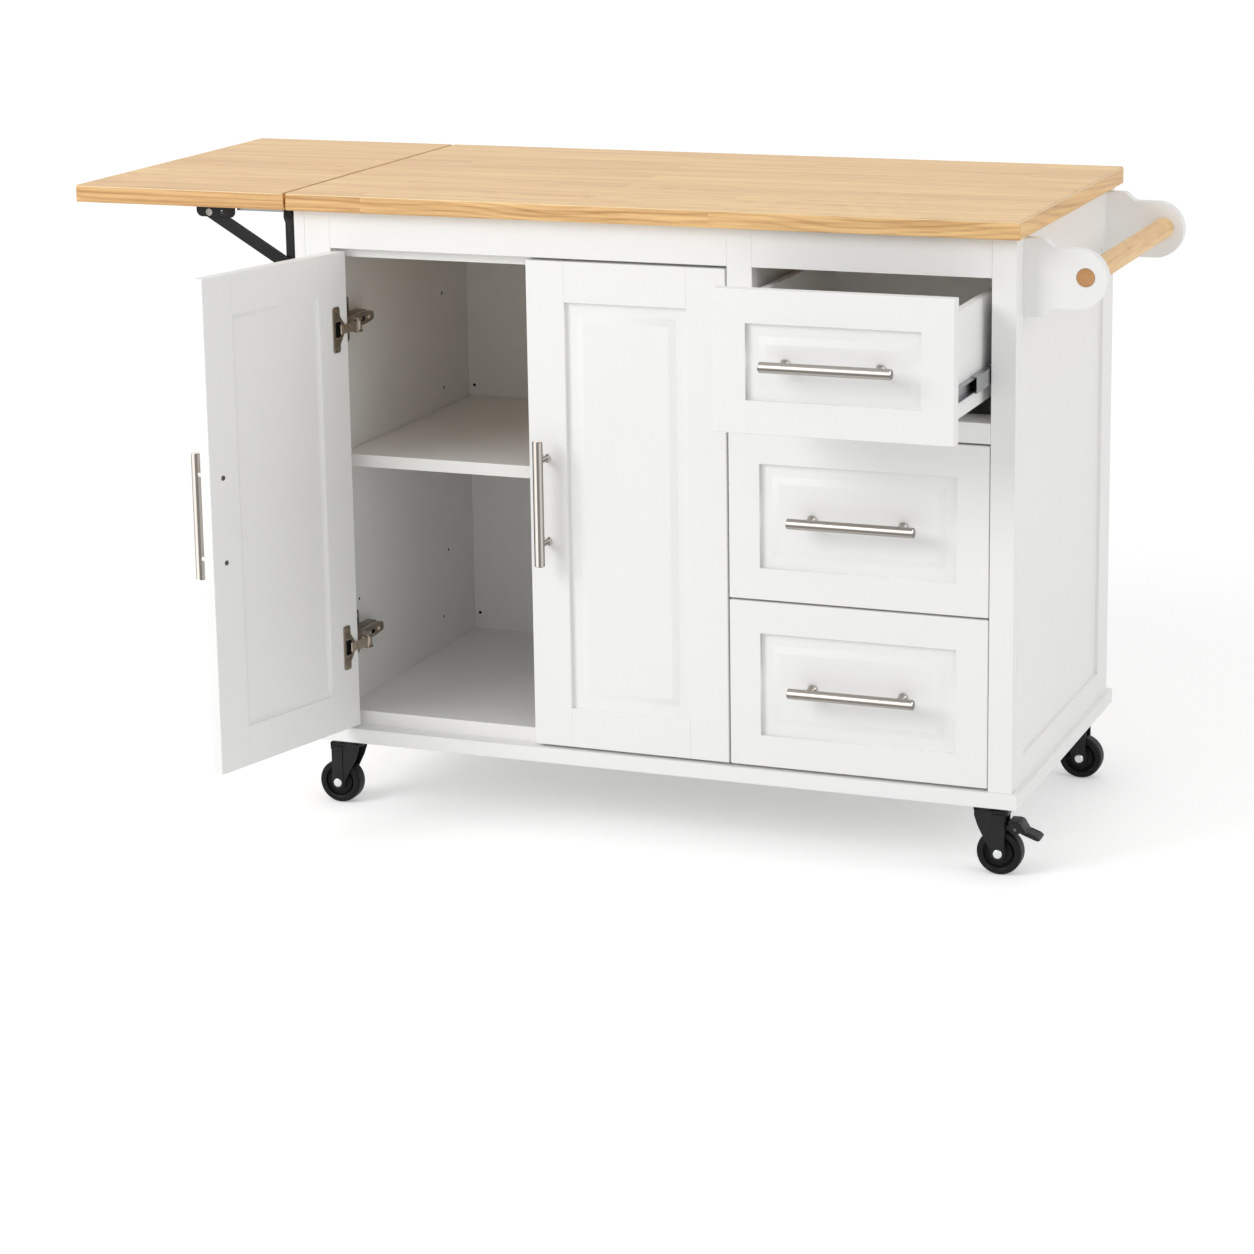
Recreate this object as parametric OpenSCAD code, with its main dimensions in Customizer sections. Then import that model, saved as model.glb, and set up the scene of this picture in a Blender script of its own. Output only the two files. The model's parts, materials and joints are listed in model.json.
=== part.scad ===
// Rolling kitchen island: worktop with a drop leaf, cupboard with two doors, three drawers, four casters.
// X runs to the right, Y to the back, Z up. Lengths are in millimetres.
// The parts are laid out from the worktop's left front corner on the floor; at_origin() then moves
// them so that the origin is under the middle of the whole object as it stands.

/* [Worktop] */
// Height of the worktop's upper face above the floor
total_h = 915; // [850:1:960]
// Width of the fixed worktop, along X
worktop_w = 1070; // [1000:1:1200]
// Depth of the worktop, along Y
worktop_d = 585; // [560:1:680]
// Thickness of the worktop and the leaf
worktop_t = 25; // [20:0.5:32]
// Chamfer along the worktop's upper edges
worktop_chamfer = 1.5; // [0.5:0.1:3]

/* [Drop leaf] */
// Width of the leaf, along X
leaf_w = 336; // [280:1:400]
// Gap between leaf and worktop
leaf_gap = 3; // [2:0.5:4]
// Depth of the leaf pivot below the leaf's underside
leaf_pivot_drop = 12; // [10:0.5:16]
// Distance of the leaf pivot from the cabinet's side
leaf_pivot_out = 18; // [15:0.5:22]
// Distance of the strut's upper pin from the leaf pivot
strut_reach = 125; // [110:1:140]
// Height of the leaf pivot above the strut's lower pivot
strut_drop = 74; // [60:1:90]
// Width of the strut bar
strut_w = 19; // [12:0.5:20]
// Thickness of the brackets' steel
bracket_steel = 2.5; // [1.5:0.1:3]
// Distance of the leaf brackets from the worktop's front and back edges
leaf_bracket_in = 40; // [25:1:80]

/* [Carcass] */
// Overhang of the worktop past the left side
overhang_left = 3; // [0:1:20]
// Overhang of the worktop past the right side
overhang_right = 9; // [0:1:30]
// Overhang of the worktop past the front
overhang_front = 20; // [5:1:40]
// Overhang of the worktop past the back
overhang_back = 18; // [0:1:40]
// Thickness of the side frames
side_t = 16; // [12:1:22]
// Thickness of the face frame, the doors and the drawer fronts
front_t = 18; // [16:1:22]
// Width of the left stile
left_stile_w = 40; // [30:1:60]
// Width of the right stile
right_stile_w = 34; // [30:1:60]
// Width of the centre stile
centre_stile_w = 36; // [30:1:50]
// Height of the top rails
top_rail_h = 54.5; // [40:0.5:80]
// Width of the drawer opening
drawer_open_w = 335; // [280:1:400]
// Thickness of the base board
base_t = 22; // [18:1:30]
// Overhang of the base board past the sides
base_overhang_side = 8; // [0:1:20]
// Overhang of the base board past the front and the back
base_overhang_front = 4; // [0:1:12]
// Thickness of the bottom board
bottom_t = 21; // [15:1:24]
// Thickness of the inner walls
liner_t = 16; // [12:1:20]
// Width by which the stiles cover the cupboard's side walls
stile_lip = 14; // [10:1:18]
// Thickness of the back panel
back_t = 8; // [4:1:16]
// Distance of the back panel from the carcass's rear edge
back_inset = 40; // [10:1:80]
// Setback of boards and inner walls behind the fronts
inner_setback = 2; // [2:0.5:6]
// Height of the shelf's upper face above the floor
shelf_top = 528; // [400:1:650]
// Thickness of the shelf
shelf_t = 18; // [14:1:24]
// Setback of the shelf behind the fronts
shelf_setback = 24; // [5:1:60]

/* [Side panels] */
// Width of the side frames' front and rear stiles
side_stile_w = 59; // [40:1:80]
// Height of the side frames' bottom rail
side_bottom_rail_h = 39; // [25:1:80]
// Height of the side frames' top rail
side_top_rail_h = 85; // [60:1:120]
// Depth of the side panels behind the frames' faces
side_recess = 5; // [3:0.5:7]

/* [Doors and drawer fronts] */
// Gap round the doors
door_gap = 2.5; // [2:0.5:4]
// Gap between the two doors
door_middle_gap = 3; // [2:0.5:5]
// Gap between the doors and the base board or top rail
front_gap = 4; // [2:0.5:5]
// Gap above and below the upper drawer's front
inset_gap = 1.5; // [1:0.5:4]
// Gap at the upper drawer's sides
inset_side_gap = 3; // [1:0.5:5]
// Width of the doors' frame around the recess
door_margin = 57; // [45:1:75]
// Width of the drawer fronts' frame around the recess
drawer_margin = 45; // [35:1:55]
// Width of the bevel round the raised field
bevel_w = 27; // [18:1:30]
// Depth of the recess round the raised field
recess_depth = 7; // [5:0.5:8]
// Depth of the raised field behind the frame's face
field_depth = 2; // [1:0.5:3]
// Opening angle of the left door as it stands
left_door_open = 105; // [0:1:105]
// Distance that the upper drawer is pulled out
drawer_pull = 165; // [0:5:330]

/* [Handles] */
// Diameter of the handle bars
handle_d = 12; // [10:0.5:14]
// Length of the handle bars
handle_len = 180; // [150:1:220]
// Distance between the posts of the door handles
door_post_spacing = 120; // [100:1:140]
// Distance between the posts of the drawer handles
drawer_post_spacing = 130; // [100:1:140]
// Diameter of the handle posts
post_d = 8; // [6:0.5:10]
// Distance of the bar's axis from the front it stands on
handle_out = 31; // [25:1:40]
// Distance of the door handle's axis from the door's free edge
handle_edge = 26; // [15:1:30]
// Height of the door handle's middle above the door's bottom
door_handle_z = 360; // [200:1:500]

/* [Hinges] */
// Distance of the door's turning axis from its hinge edge
hinge_in = 4; // [3:0.5:4.5]
// Depth of the door's turning axis behind its front face
hinge_back = 4.4; // [4:0.1:4.5]
// Largest opening angle of the hinges
hinge_opening = 105; // [101:0.5:105]
// Distance of the upper hinge from the door's top
hinge_from_top = 110; // [90:1:160]
// Distance of the lower hinge from the door's bottom
hinge_from_bottom = 122; // [90:1:160]
// Diameter of the hinge cups
cup_d = 35; // [30:1:35]
// Distance of the cup's centre from the door's hinge edge
cup_in = 24; // [22:0.5:27]

/* [Drawers] */
// Height of the upper drawer's opening
drawer_1_open_h = 195.5; // [150:0.5:220]
// Height of the rail below the upper drawer
drawer_rail_h = 28; // [20:1:40]
// Gap between the drawer fronts
drawer_front_gap = 3; // [2:0.5:5]
// Depth of the drawer boxes
box_depth = 450; // [380:5:460]
// Thickness of the drawer boxes' walls
box_wall = 12; // [10:1:16]
// Thickness of the drawer bottoms
box_bottom = 8; // [6:1:12]

/* [Slides] */
// Height of the slides' outer section
slide_h = 26; // [22:1:40]
// Space for a slide between wall and drawer box
slide_space = 12.7; // [12.5:0.1:13]
// Thickness of the slides' steel
slide_steel = 1.2; // [1:0.1:1.4]
// Running gap between the nested sections
slide_gap = 0.5; // [0.3:0.1:0.8]

/* [Towel rail] */
// Height of the towel brackets at the cabinet's side
rail_bracket_h = 105; // [90:1:120]
// Reach of the towel brackets
rail_bracket_reach = 113; // [100:1:130]
// Thickness of the towel brackets
rail_bracket_t = 18; // [15:1:25]
// Diameter of the towel rod
rod_d = 25; // [20:1:30]
// Distance of the rod's axis from the cabinet's side
rod_out = 84; // [75:1:90]
// Distance of the towel brackets from the carcass's front and back
rail_bracket_in = 32; // [10:1:80]

/* [Casters] */
// Diameter of the wheels
wheel_d = 64; // [55:1:70]
// Width of the wheels
wheel_w = 24; // [20:1:30]
// Height of the casters from the floor to the base board
caster_h = 106; // [100:1:120]
// Distance of the wheel's axle from the swivel axis
trail = 20; // [15:1:25]
// Distance of the swivel axes from the carcass's sides
caster_in_side = 46; // [44:1:90]
// Distance of the swivel axes from the carcass's front and back
caster_in_front = 42; // [38:1:90]
// Diameter of the axle bolts
axle_d = 8; // [6:0.5:10]
// Diameter of the kingpins
kingpin_d = 10; // [8:0.5:12]
// Radial running clearance of wheels, swivels and pivots
run_gap = 0.05; // [0.02:0.01:0.09]

/* [Hidden] */
$fn = 48;
// Overcut of holes and pockets, and clearance of resting pieces on different bodies
eps = 1;
rest_gap = 0.3;
white = "whitesmoke";
timber = "burlywood";
steel = "silver";
dark = "dimgray";

// Carcass faces
body_x0 = overhang_left;
body_x1 = worktop_w - overhang_right;
body_y0 = overhang_front;
body_y1 = worktop_d - overhang_back;
body_z0 = caster_h + base_t;
body_z1 = total_h - worktop_t;
body_h = body_z1 - body_z0;
inner_y0 = body_y0 + front_t + inner_setback;
back_y = body_y1 - back_inset - back_t;
floor_z = body_z0 + bottom_t;
open_x0 = body_x0 + side_t + left_stile_w;
wall_left_x1 = open_x0 - stile_lip;
divider_t = centre_stile_w - stile_lip;
drawer_x1 = body_x1 - right_stile_w;
drawer_x0 = drawer_x1 - drawer_open_w;
centre_x0 = drawer_x0 - centre_stile_w;
rail_z0 = body_z1 - top_rail_h;
stretcher_strip = 14;
stretcher_h = top_rail_h + stretcher_strip;

// Fronts
front_z0 = body_z0 + front_gap;
front_z1 = rail_z0 - front_gap;
door_h = front_z1 - front_z0;
door_w = (centre_x0 - open_x0 - 2 * door_gap - door_middle_gap) / 2;
left_door_x = open_x0 + door_gap;
right_door_x1 = centre_x0 - door_gap;
drawer_1_z0 = rail_z0 - drawer_1_open_h;
drawer_rail_z0 = drawer_1_z0 - drawer_rail_h;
low_front_x0 = centre_x0;
low_front_x1 = drawer_x1 - 1;
low_front_w = low_front_x1 - low_front_x0;
low_front_h = (drawer_rail_z0 - drawer_front_gap - front_z0 - drawer_front_gap) / 2;
drawer_front_z = [drawer_1_z0 + inset_gap, front_z0 + low_front_h + drawer_front_gap, front_z0];
drawer_front_h = [drawer_1_open_h - 2 * inset_gap, low_front_h, low_front_h];
drawer_front_x = [drawer_x0 + inset_side_gap, low_front_x0, low_front_x0];
drawer_front_w = [drawer_open_w - 2 * inset_side_gap, low_front_w, low_front_w];
drawer_out = [drawer_pull, 0, 0];
box_x0 = drawer_x0 + slide_space;
box_w = drawer_open_w - 2 * slide_space;
box_y0 = body_y0 + front_t;
// Height of each front that its box leaves free below and above, and of the slides above the box's foot
box_low = 26;
box_top = 25;
slide_up = 36;
// Depth of the stretchers and of the drawer rail's tail behind the face frame
stretcher_d = 80;
rail_tail = 40;

// Hinges
hinge_z = [front_z1 - hinge_from_top, front_z0 + hinge_from_bottom];
left_axis = [left_door_x + hinge_in, body_y0 + hinge_back];
right_axis = [right_door_x1 - hinge_in, body_y0 + hinge_back];
cup_depth = 12;
cup_plate_h = 66;
cup_plate_w = 22;
cup_plate_t = 1.2;
screw_r = 2;
// Hinge links stay parallel to the door: they clear the cup's plate when it is shut and when it is open
link_half = 1.8;
link_h = 14;
link_len = 38;
link_pin_r = 1;
cup_face = front_t - hinge_back + cup_plate_t;
link_y = cup_face + rest_gap + link_half;
link_x = (cup_face + rest_gap + 0.1 + link_half - link_y * cos(hinge_opening)) / sin(hinge_opening);
cheek_t = 2;

// Leaf brackets
leaf_x1 = -leaf_gap;
leaf_x0 = leaf_x1 - leaf_w;
pivot_x = body_x0 - leaf_pivot_out;
pivot_z = body_z1 - leaf_pivot_drop;
strut_len = sqrt(strut_reach * strut_reach + strut_drop * strut_drop);
strut_angle = atan2(strut_drop, strut_reach);
fold_reach = strut_drop + strut_len;
layer = bracket_steel + 0.5;
pivot_pin_r = 3;
// Plates of the brackets start at these depths: strut, wall plate, leaf plate
bracket_y = [leaf_bracket_in, worktop_d - leaf_bracket_in - 5];

// Towel rail
bracket_mid_z = body_z1 - 4 - rail_bracket_h / 2;
rod_z = bracket_mid_z + 3;
rail_bracket_y = [body_y0 + rail_bracket_in, body_y1 - rail_bracket_in - rail_bracket_t];

// Casters
wheel_r = wheel_d / 2;
caster_x = [body_x0 + caster_in_side, body_x1 - caster_in_side];
caster_y = [body_y0 + caster_in_front, body_y1 - caster_in_front];
plate_t = 3;
crown_t = 3;
fork_top = caster_h - plate_t - rest_gap;
race_h = 9;
crown_z = fork_top - race_h - crown_t;
leg_t = 3;
leg_in = wheel_w / 2 + 1;
pedal_x = trail + 23.5;
pedal_z = wheel_r + 36.5;
pedal_pin_r = 2.5;
pedal_cheek_t = 2.5;
pedal_gap = 0.5;
// Half width of the arm that carries the pedal, and the outer faces of the pedal's cheeks
pedal_arm_half = leg_in - 1.5;
pedal_half = pedal_arm_half + pedal_gap + pedal_cheek_t;

// The origin is under the middle of the object's box as it stands
open_door_reach = (door_w - hinge_in) * sin(left_door_open) - (front_t - hinge_back) * cos(left_door_open);
mid_x = (leaf_x0 + body_x1 + rail_bracket_reach) / 2;
mid_y = (left_axis[1] - open_door_reach + worktop_d) / 2;
module at_origin() { translate([-mid_x, -mid_y, 0]) children(); }

// Cylinder between two depths, with its axis along Y
module rod_y(x, z, y0, y1, r) {
  translate([x, y1, z]) rotate([90, 0, 0]) cylinder(r = r, h = y1 - y0);
}

// Cylinder between two widths, with its axis along X
module rod_x(x0, x1, y, z, r) {
  translate([x0, y, z]) rotate([0, 90, 0]) cylinder(r = r, h = x1 - x0);
}

// Board with a chamfer along its upper edges
module chamfered_board(w, d, t, c) {
  hull() {
    cube([w, d, t - c]);
    translate([c, c, 0]) cube([w - 2 * c, d - 2 * c, t]);
  }
}

// Plate in the XZ plane, its outline extruded from y0 towards the back
module plate_xz(y0, t) {
  translate([0, y0 + t, 0]) rotate([90, 0, 0]) linear_extrude(t) children();
}

module worktop() {
  color(timber) at_origin() translate([0, 0, body_z1])
    chamfered_board(worktop_w, worktop_d, worktop_t, worktop_chamfer);
}

module leaf() {
  color(timber) at_origin() translate([leaf_x0, 0, body_z1])
    chamfered_board(leaf_w, worktop_d, worktop_t, worktop_chamfer);
}

// Side frame with its window, from y0 to the carcass's back
window_y0 = body_y0 + side_stile_w;
window_y1 = body_y1 - side_stile_w;
window_z0 = body_z0 + side_bottom_rail_h;
window_z1 = body_z1 - side_top_rail_h;
module side_frame(x, y0) {
  difference() {
    translate([x, y0, body_z0]) cube([side_t, body_y1 - y0, body_h]);
    translate([x - eps, window_y0, window_z0])
      cube([side_t + 2 * eps, window_y1 - window_y0, window_z1 - window_z0]);
  }
}

module side_left() {
  color(white) at_origin() side_frame(body_x0, body_y0);
}

module side_right() {
  color(white) at_origin() side_frame(body_x1 - side_t, body_y0 + front_t);
}

module side_panels() {
  panel_t = side_t - side_recess;
  color(white) at_origin()
    for (x = [body_x0 + side_recess, body_x1 - side_t])
      translate([x, window_y0, window_z0])
        cube([panel_t, window_y1 - window_y0, window_z1 - window_z0]);
}

// Holes for the shelf pegs in a wall
peg_r = 2.5;
peg_len = 16;
peg_in = [30, 60];
peg_y = [inner_y0 + shelf_setback + peg_in[0], back_y - peg_in[1]];
peg_z = shelf_top - shelf_t - peg_r;
module peg_holes(x) {
  for (y = peg_y) rod_x(x - peg_len / 2, x + peg_len / 2, y, peg_z, peg_r);
}

module inner_walls() {
  wall_h = body_z1 - floor_z;
  y0 = body_y0 + front_t;
  color(white) at_origin() {
    difference() {
      translate([wall_left_x1 - liner_t, y0, floor_z]) cube([liner_t, back_y - y0, wall_h]);
      peg_holes(wall_left_x1);
    }
    translate([drawer_x1, y0, floor_z]) cube([body_x1 - side_t - drawer_x1, back_y - y0, wall_h]);
  }
}

module divider() {
  color(white) at_origin() difference() {
    translate([drawer_x0 - divider_t, inner_y0, floor_z])
      cube([divider_t, back_y - inner_y0, body_z1 - floor_z]);
    peg_holes(drawer_x0 - divider_t);
  }
}

module back_panel() {
  x0 = body_x0 + side_t;
  color(white) at_origin() translate([x0, back_y, body_z0])
    cube([body_x1 - side_t - x0, back_t, body_h]);
}

module base_board() {
  color(white) at_origin()
    translate([body_x0 - base_overhang_side, body_y0 - base_overhang_front, caster_h])
      chamfered_board(body_x1 - body_x0 + 2 * base_overhang_side,
                      body_y1 - body_y0 + 2 * base_overhang_front, base_t, 1);
}

module bottom_board() {
  x0 = body_x0 + side_t;
  color(white) at_origin() translate([x0, inner_y0, body_z0])
    cube([body_x1 - side_t - x0, back_y - inner_y0, bottom_t]);
}

module top_stretchers() {
  color(white) at_origin() {
    translate([wall_left_x1, inner_y0, body_z1 - stretcher_h])
      cube([drawer_x0 - divider_t - wall_left_x1, front_t, stretcher_h]);
    translate([wall_left_x1, back_y - stretcher_d, body_z1 - front_t])
      cube([drawer_x0 - divider_t - wall_left_x1, stretcher_d, front_t]);
    for (y = [inner_y0, back_y - stretcher_d])
      translate([drawer_x0, y, body_z1 - front_t]) cube([drawer_open_w, stretcher_d, front_t]);
  }
}

module outer_stiles() {
  color(white) at_origin() {
    translate([body_x0 + side_t, body_y0, body_z0]) cube([left_stile_w, front_t, body_h]);
    translate([drawer_x1, body_y0, body_z0]) cube([right_stile_w, front_t, body_h]);
  }
}

module centre_stile() {
  color(white) at_origin() {
    translate([centre_x0, body_y0, drawer_rail_z0])
      cube([centre_stile_w, front_t, body_z1 - drawer_rail_z0]);
    translate([centre_x0 + 1, body_y0 + front_t, drawer_rail_z0])
      cube([centre_stile_w - 1, inner_setback, body_z1 - drawer_rail_z0]);
  }
}

module rails() {
  color(white) at_origin() {
    translate([open_x0, body_y0, rail_z0]) cube([centre_x0 - open_x0, front_t, top_rail_h]);
    translate([drawer_x0, body_y0, rail_z0]) cube([drawer_open_w, front_t, top_rail_h]);
    translate([drawer_x0, body_y0, drawer_rail_z0])
      cube([drawer_open_w, front_t + rail_tail, drawer_rail_h]);
  }
}

shelf_play = 1;
module shelf() {
  x0 = wall_left_x1 + shelf_play;
  x1 = drawer_x0 - divider_t - shelf_play;
  y0 = inner_y0 + shelf_setback;
  color(white) at_origin() translate([x0, y0, shelf_top - shelf_t])
    cube([x1 - x0, back_y - shelf_play - y0, shelf_t]);
}

module shelf_pegs() {
  color(steel) at_origin()
    for (x = [wall_left_x1, drawer_x0 - divider_t], y = peg_y)
      rod_x(x - peg_len / 2, x + peg_len / 2, y, peg_z, peg_r);
}

// Outline of a towel bracket from the cabinet's side: a flat head, an S curve and a round nose
neck_in = 12;
neck_half = rail_bracket_h / 2 - neck_in;
head_len = 24;
neck_len = 45;
module towel_outline() {
  nose_x = rail_bracket_reach - neck_half;
  steps = 8;
  upper = [for (i = [0:steps])
    [head_len + (neck_len - head_len) * i / steps,
     neck_half + (rail_bracket_h / 2 - neck_half) * (1 + cos(180 * i / steps)) / 2]];
  lower = [for (i = [steps:-1:0]) [upper[i][0], -upper[i][1]]];
  polygon(concat([[0, rail_bracket_h / 2]], upper, [[nose_x, neck_half], [nose_x, -neck_half]],
                 lower, [[0, -rail_bracket_h / 2]]));
  translate([nose_x, 0]) circle(r = neck_half);
}

module towel_brackets() {
  color(white) at_origin()
    for (y = rail_bracket_y) difference() {
      translate([body_x1, 0, bracket_mid_z]) plate_xz(y, rail_bracket_t) towel_outline();
      rod_y(body_x1 + rod_out, rod_z, y - eps, y + rail_bracket_t + eps, rod_d / 2);
    }
}

module towel_rod() {
  color(timber) at_origin()
    rod_y(body_x1 + rod_out, rod_z, rail_bracket_y[0], rail_bracket_y[1] + rail_bracket_t, rod_d / 2);
}

// Frame-and-panel front from its lower left corner, its face at y = 0
bevel_foot = 2;
module raised_front(w, h, margin, back_recess) {
  panel_w = w - 2 * margin;
  panel_h = h - 2 * margin;
  difference() {
    cube([w, front_t, h]);
    difference() {
      translate([margin, -eps, margin]) cube([panel_w, recess_depth + eps, panel_h]);
      hull() {
        translate([margin + bevel_foot, recess_depth - eps / 2, margin + bevel_foot])
          cube([panel_w - 2 * bevel_foot, eps, panel_h - 2 * bevel_foot]);
        translate([margin + bevel_w, field_depth, margin + bevel_w])
          cube([panel_w - 2 * bevel_w, eps, panel_h - 2 * bevel_w]);
      }
    }
    if (back_recess > 0)
      translate([margin, front_t - back_recess, margin]) cube([panel_w, back_recess + eps, panel_h]);
  }
}

// Bar handle on a front, upright or level, with its middle at the origin and the front's face at y = 0
module bar_handle(post_spacing) {
  translate([0, -handle_out, -handle_len / 2]) cylinder(d = handle_d, h = handle_len);
  for (z = [-post_spacing / 2, post_spacing / 2]) difference() {
    rod_y(0, z, -handle_out + handle_d / 4, 0, post_d / 2);
    rod_y(0, z, -handle_out / 2, eps, screw_r);
  }
}

// Screws of a bar handle, with their heads on the face at the given depth
head_h = 2;
module handle_screws(depth, post_spacing) {
  for (z = [-post_spacing / 2, post_spacing / 2]) {
    rod_y(0, z, -handle_out / 2, depth, screw_r);
    rod_y(0, z, depth, depth + head_h, screw_r * 2);
  }
}

hole_play = 0.5;
module handle_holes(depth, post_spacing) {
  for (z = [-post_spacing / 2, post_spacing / 2]) rod_y(0, z, -eps, depth + eps, screw_r + hole_play);
}

module door_handle_place() { translate([door_w - handle_edge, 0, door_handle_z]) children(); }

// Door with its hinge edge at the left, its lower left front corner at the origin
door_back_recess = 3;
module plain_door() {
  difference() {
    raised_front(door_w, door_h, door_margin, door_back_recess);
    for (z = hinge_z) rod_y(cup_in, z - front_z0, front_t - cup_depth, front_t + eps, cup_d / 2);
    door_handle_place() handle_holes(front_t, door_post_spacing);
  }
}

// Hinge cups of a door: cup, plate with two lobes and its screws
lobe_r = 9;
plate_off = 3;
cup_screw_r = 3.2;
cup_screw_h = 0.6;
module hinge_cup(z) {
  plate_x = cup_in - plate_off;
  lobe_z = cup_plate_h / 2 - lobe_r;
  face = front_t + cup_plate_t;
  difference() {
    union() {
      rod_y(cup_in, z, front_t - cup_depth, front_t, cup_d / 2);
      translate([plate_x - cup_plate_w / 2, front_t, z - lobe_z - eps])
        cube([cup_plate_w, cup_plate_t, 2 * (lobe_z + eps)]);
      for (s = [-1, 1]) rod_y(plate_x, z + s * lobe_z, front_t, face, lobe_r);
    }
    translate([cup_in - cup_depth, front_t - cup_depth + 2 * eps, z - link_h / 2 + eps])
      cube([2 * cup_depth, cup_depth, link_h - 2 * eps]);
  }
  for (s = [-1, 1]) rod_y(plate_x, z + s * lobe_z, face, face + cup_screw_h, cup_screw_r);
}

module hinge_cups() { for (z = hinge_z) hinge_cup(z - front_z0); }

// Left door's place: closed, then turned open about its axis
module left_door_place() {
  at_origin()
    translate([left_axis[0], left_axis[1], front_z0]) rotate([0, 0, -left_door_open])
      translate([-hinge_in, -hinge_back, 0]) children();
}

module right_door_place() {
  at_origin() translate([right_door_x1, body_y0, front_z0]) mirror([1, 0, 0]) children();
}

module door_left() { color(white) left_door_place() plain_door(); }
module door_right() { color(white) right_door_place() plain_door(); }

module door_handle() {
  door_handle_place() {
    bar_handle(door_post_spacing);
    handle_screws(front_t, door_post_spacing);
  }
}

module handle_left() { color(steel) left_door_place() door_handle(); }
module handle_right() { color(steel) right_door_place() door_handle(); }
module hinge_cups_left() { color(steel) left_door_place() hinge_cups(); }
module hinge_cups_right() { color(steel) right_door_place() hinge_cups(); }

// Hinge arm with its mounting plate, from a wall at x = 0 towards +X, at the given height off the wall.
// At its front a block with two cheeks holds the link's pin
block_t = 6;
cheek_half = 3;
block_gap = 0.7;
mount_in = 34;
mount_size = [3, 20, 66];
mount_screw_z = 25;
foot_size = [70, 22];
foot_in = 12;
arm_size = [11, 88, 16];
arm_in = 4;
arm_screw_y = [40, 70];
arm_screw_r = 4;
arm_screw_h = 1.5;
module hinge_arm(z, rise) {
  pin_x = rise + door_gap + hinge_in + link_x;
  pin_y = body_y0 + hinge_back + link_y;
  cheek_z = link_h / 2 + rest_gap;
  pin_h = 2 * (cheek_z + cheek_t);
  block_y = pin_y + link_half + block_gap;
  plate_y = inner_y0 + mount_in;
  translate([rise, block_y, z - pin_h / 2]) cube([pin_x + cheek_half - rise, block_t, pin_h]);
  for (z0 = [z - pin_h / 2, z + cheek_z])
    translate([pin_x - cheek_half, pin_y - link_half, z0])
      cube([2 * cheek_half, block_y - pin_y + link_half, cheek_t]);
  translate([pin_x, pin_y, z - pin_h / 2]) cylinder(r = link_pin_r, h = pin_h);
  translate([0, plate_y, z - mount_size[2] / 2]) cube(mount_size);
  translate([0, plate_y - foot_in, z - foot_size[1] / 2]) cube([rise, foot_size[0], foot_size[1]]);
  translate([rise, inner_y0 + arm_in, z - arm_size[2] / 2]) cube(arm_size);
  for (s = [-1, 1])
    rod_x(mount_size[0], mount_size[0] + arm_screw_h, plate_y + mount_size[1] / 2, z + s * mount_screw_z,
          arm_screw_r);
  for (y = arm_screw_y)
    rod_x(rise + arm_size[0], rise + arm_size[0] + arm_screw_h, inner_y0 + y, z, arm_screw_r);
}

module hinge_arms() {
  color(steel) at_origin() for (z = hinge_z) {
    translate([wall_left_x1, 0, 0]) hinge_arm(z, stile_lip);
    translate([drawer_x0 - divider_t, 0, 0]) mirror([1, 0, 0]) hinge_arm(z, stile_lip);
  }
}

// Links of one door's hinges, from its turning axis: each turns on the pin of its arm
module hinge_links() {
  for (z = hinge_z) translate([0, 0, z - link_h / 2]) difference() {
    union() {
      cylinder(r = link_half, h = link_h);
      translate([0, -link_half, 0]) cube([link_len, 2 * link_half, link_h]);
    }
    translate([0, 0, -eps]) cylinder(r = link_pin_r + run_gap, h = link_h + 2 * eps);
  }
}

module hinge_links_left() {
  color(steel) at_origin() translate([left_axis[0] + link_x, left_axis[1] + link_y, 0])
    rotate([0, 0, -left_door_open]) hinge_links();
}

module hinge_links_right() {
  color(steel) at_origin()
    translate([right_axis[0] - link_x, right_axis[1] + link_y, 0]) mirror([1, 0, 0]) hinge_links();
}

// Place of drawer i, pulled out as it stands
module drawer_place(i) { at_origin() translate([0, -drawer_out[i], 0]) children(); }

// Middle of drawer front i
function front_mid(i) = [drawer_front_x[i] + drawer_front_w[i] / 2, body_y0,
                         drawer_front_z[i] + drawer_front_h[i] / 2];
box_h = [for (i = [0:2]) drawer_front_h[i] - box_low - box_top];
box_z = [for (i = [0:2]) drawer_front_z[i] + box_low];
slide_z = [for (i = [0:2]) box_z[i] + slide_up];

module drawer_front(i) {
  color(white) drawer_place(i) difference() {
    translate([drawer_front_x[i], body_y0, drawer_front_z[i]])
      raised_front(drawer_front_w[i], drawer_front_h[i], drawer_margin, 0);
    translate(front_mid(i)) rotate([0, 90, 0]) handle_holes(front_t, drawer_post_spacing);
  }
}

module drawer_box(i) {
  color(white) drawer_place(i) difference() {
    translate([box_x0, box_y0, box_z[i]]) cube([box_w, box_depth, box_h[i]]);
    translate([box_x0 + box_wall, box_y0 + box_wall, box_z[i] - eps])
      cube([box_w - 2 * box_wall, box_depth - 2 * box_wall, box_h[i] + 2 * eps]);
    translate(front_mid(i)) rotate([0, 90, 0]) handle_holes(front_t + box_wall, drawer_post_spacing);
  }
}

module drawer_bottom(i) {
  color(white) drawer_place(i) translate([box_x0 + box_wall, box_y0 + box_wall, box_z[i]])
    cube([box_w - 2 * box_wall, box_depth - 2 * box_wall, box_bottom]);
}

module drawer_handle(i) {
  color(steel) drawer_place(i) translate(front_mid(i)) rotate([0, 90, 0]) {
    bar_handle(drawer_post_spacing);
    handle_screws(front_t + box_wall, drawer_post_spacing);
  }
}

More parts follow.
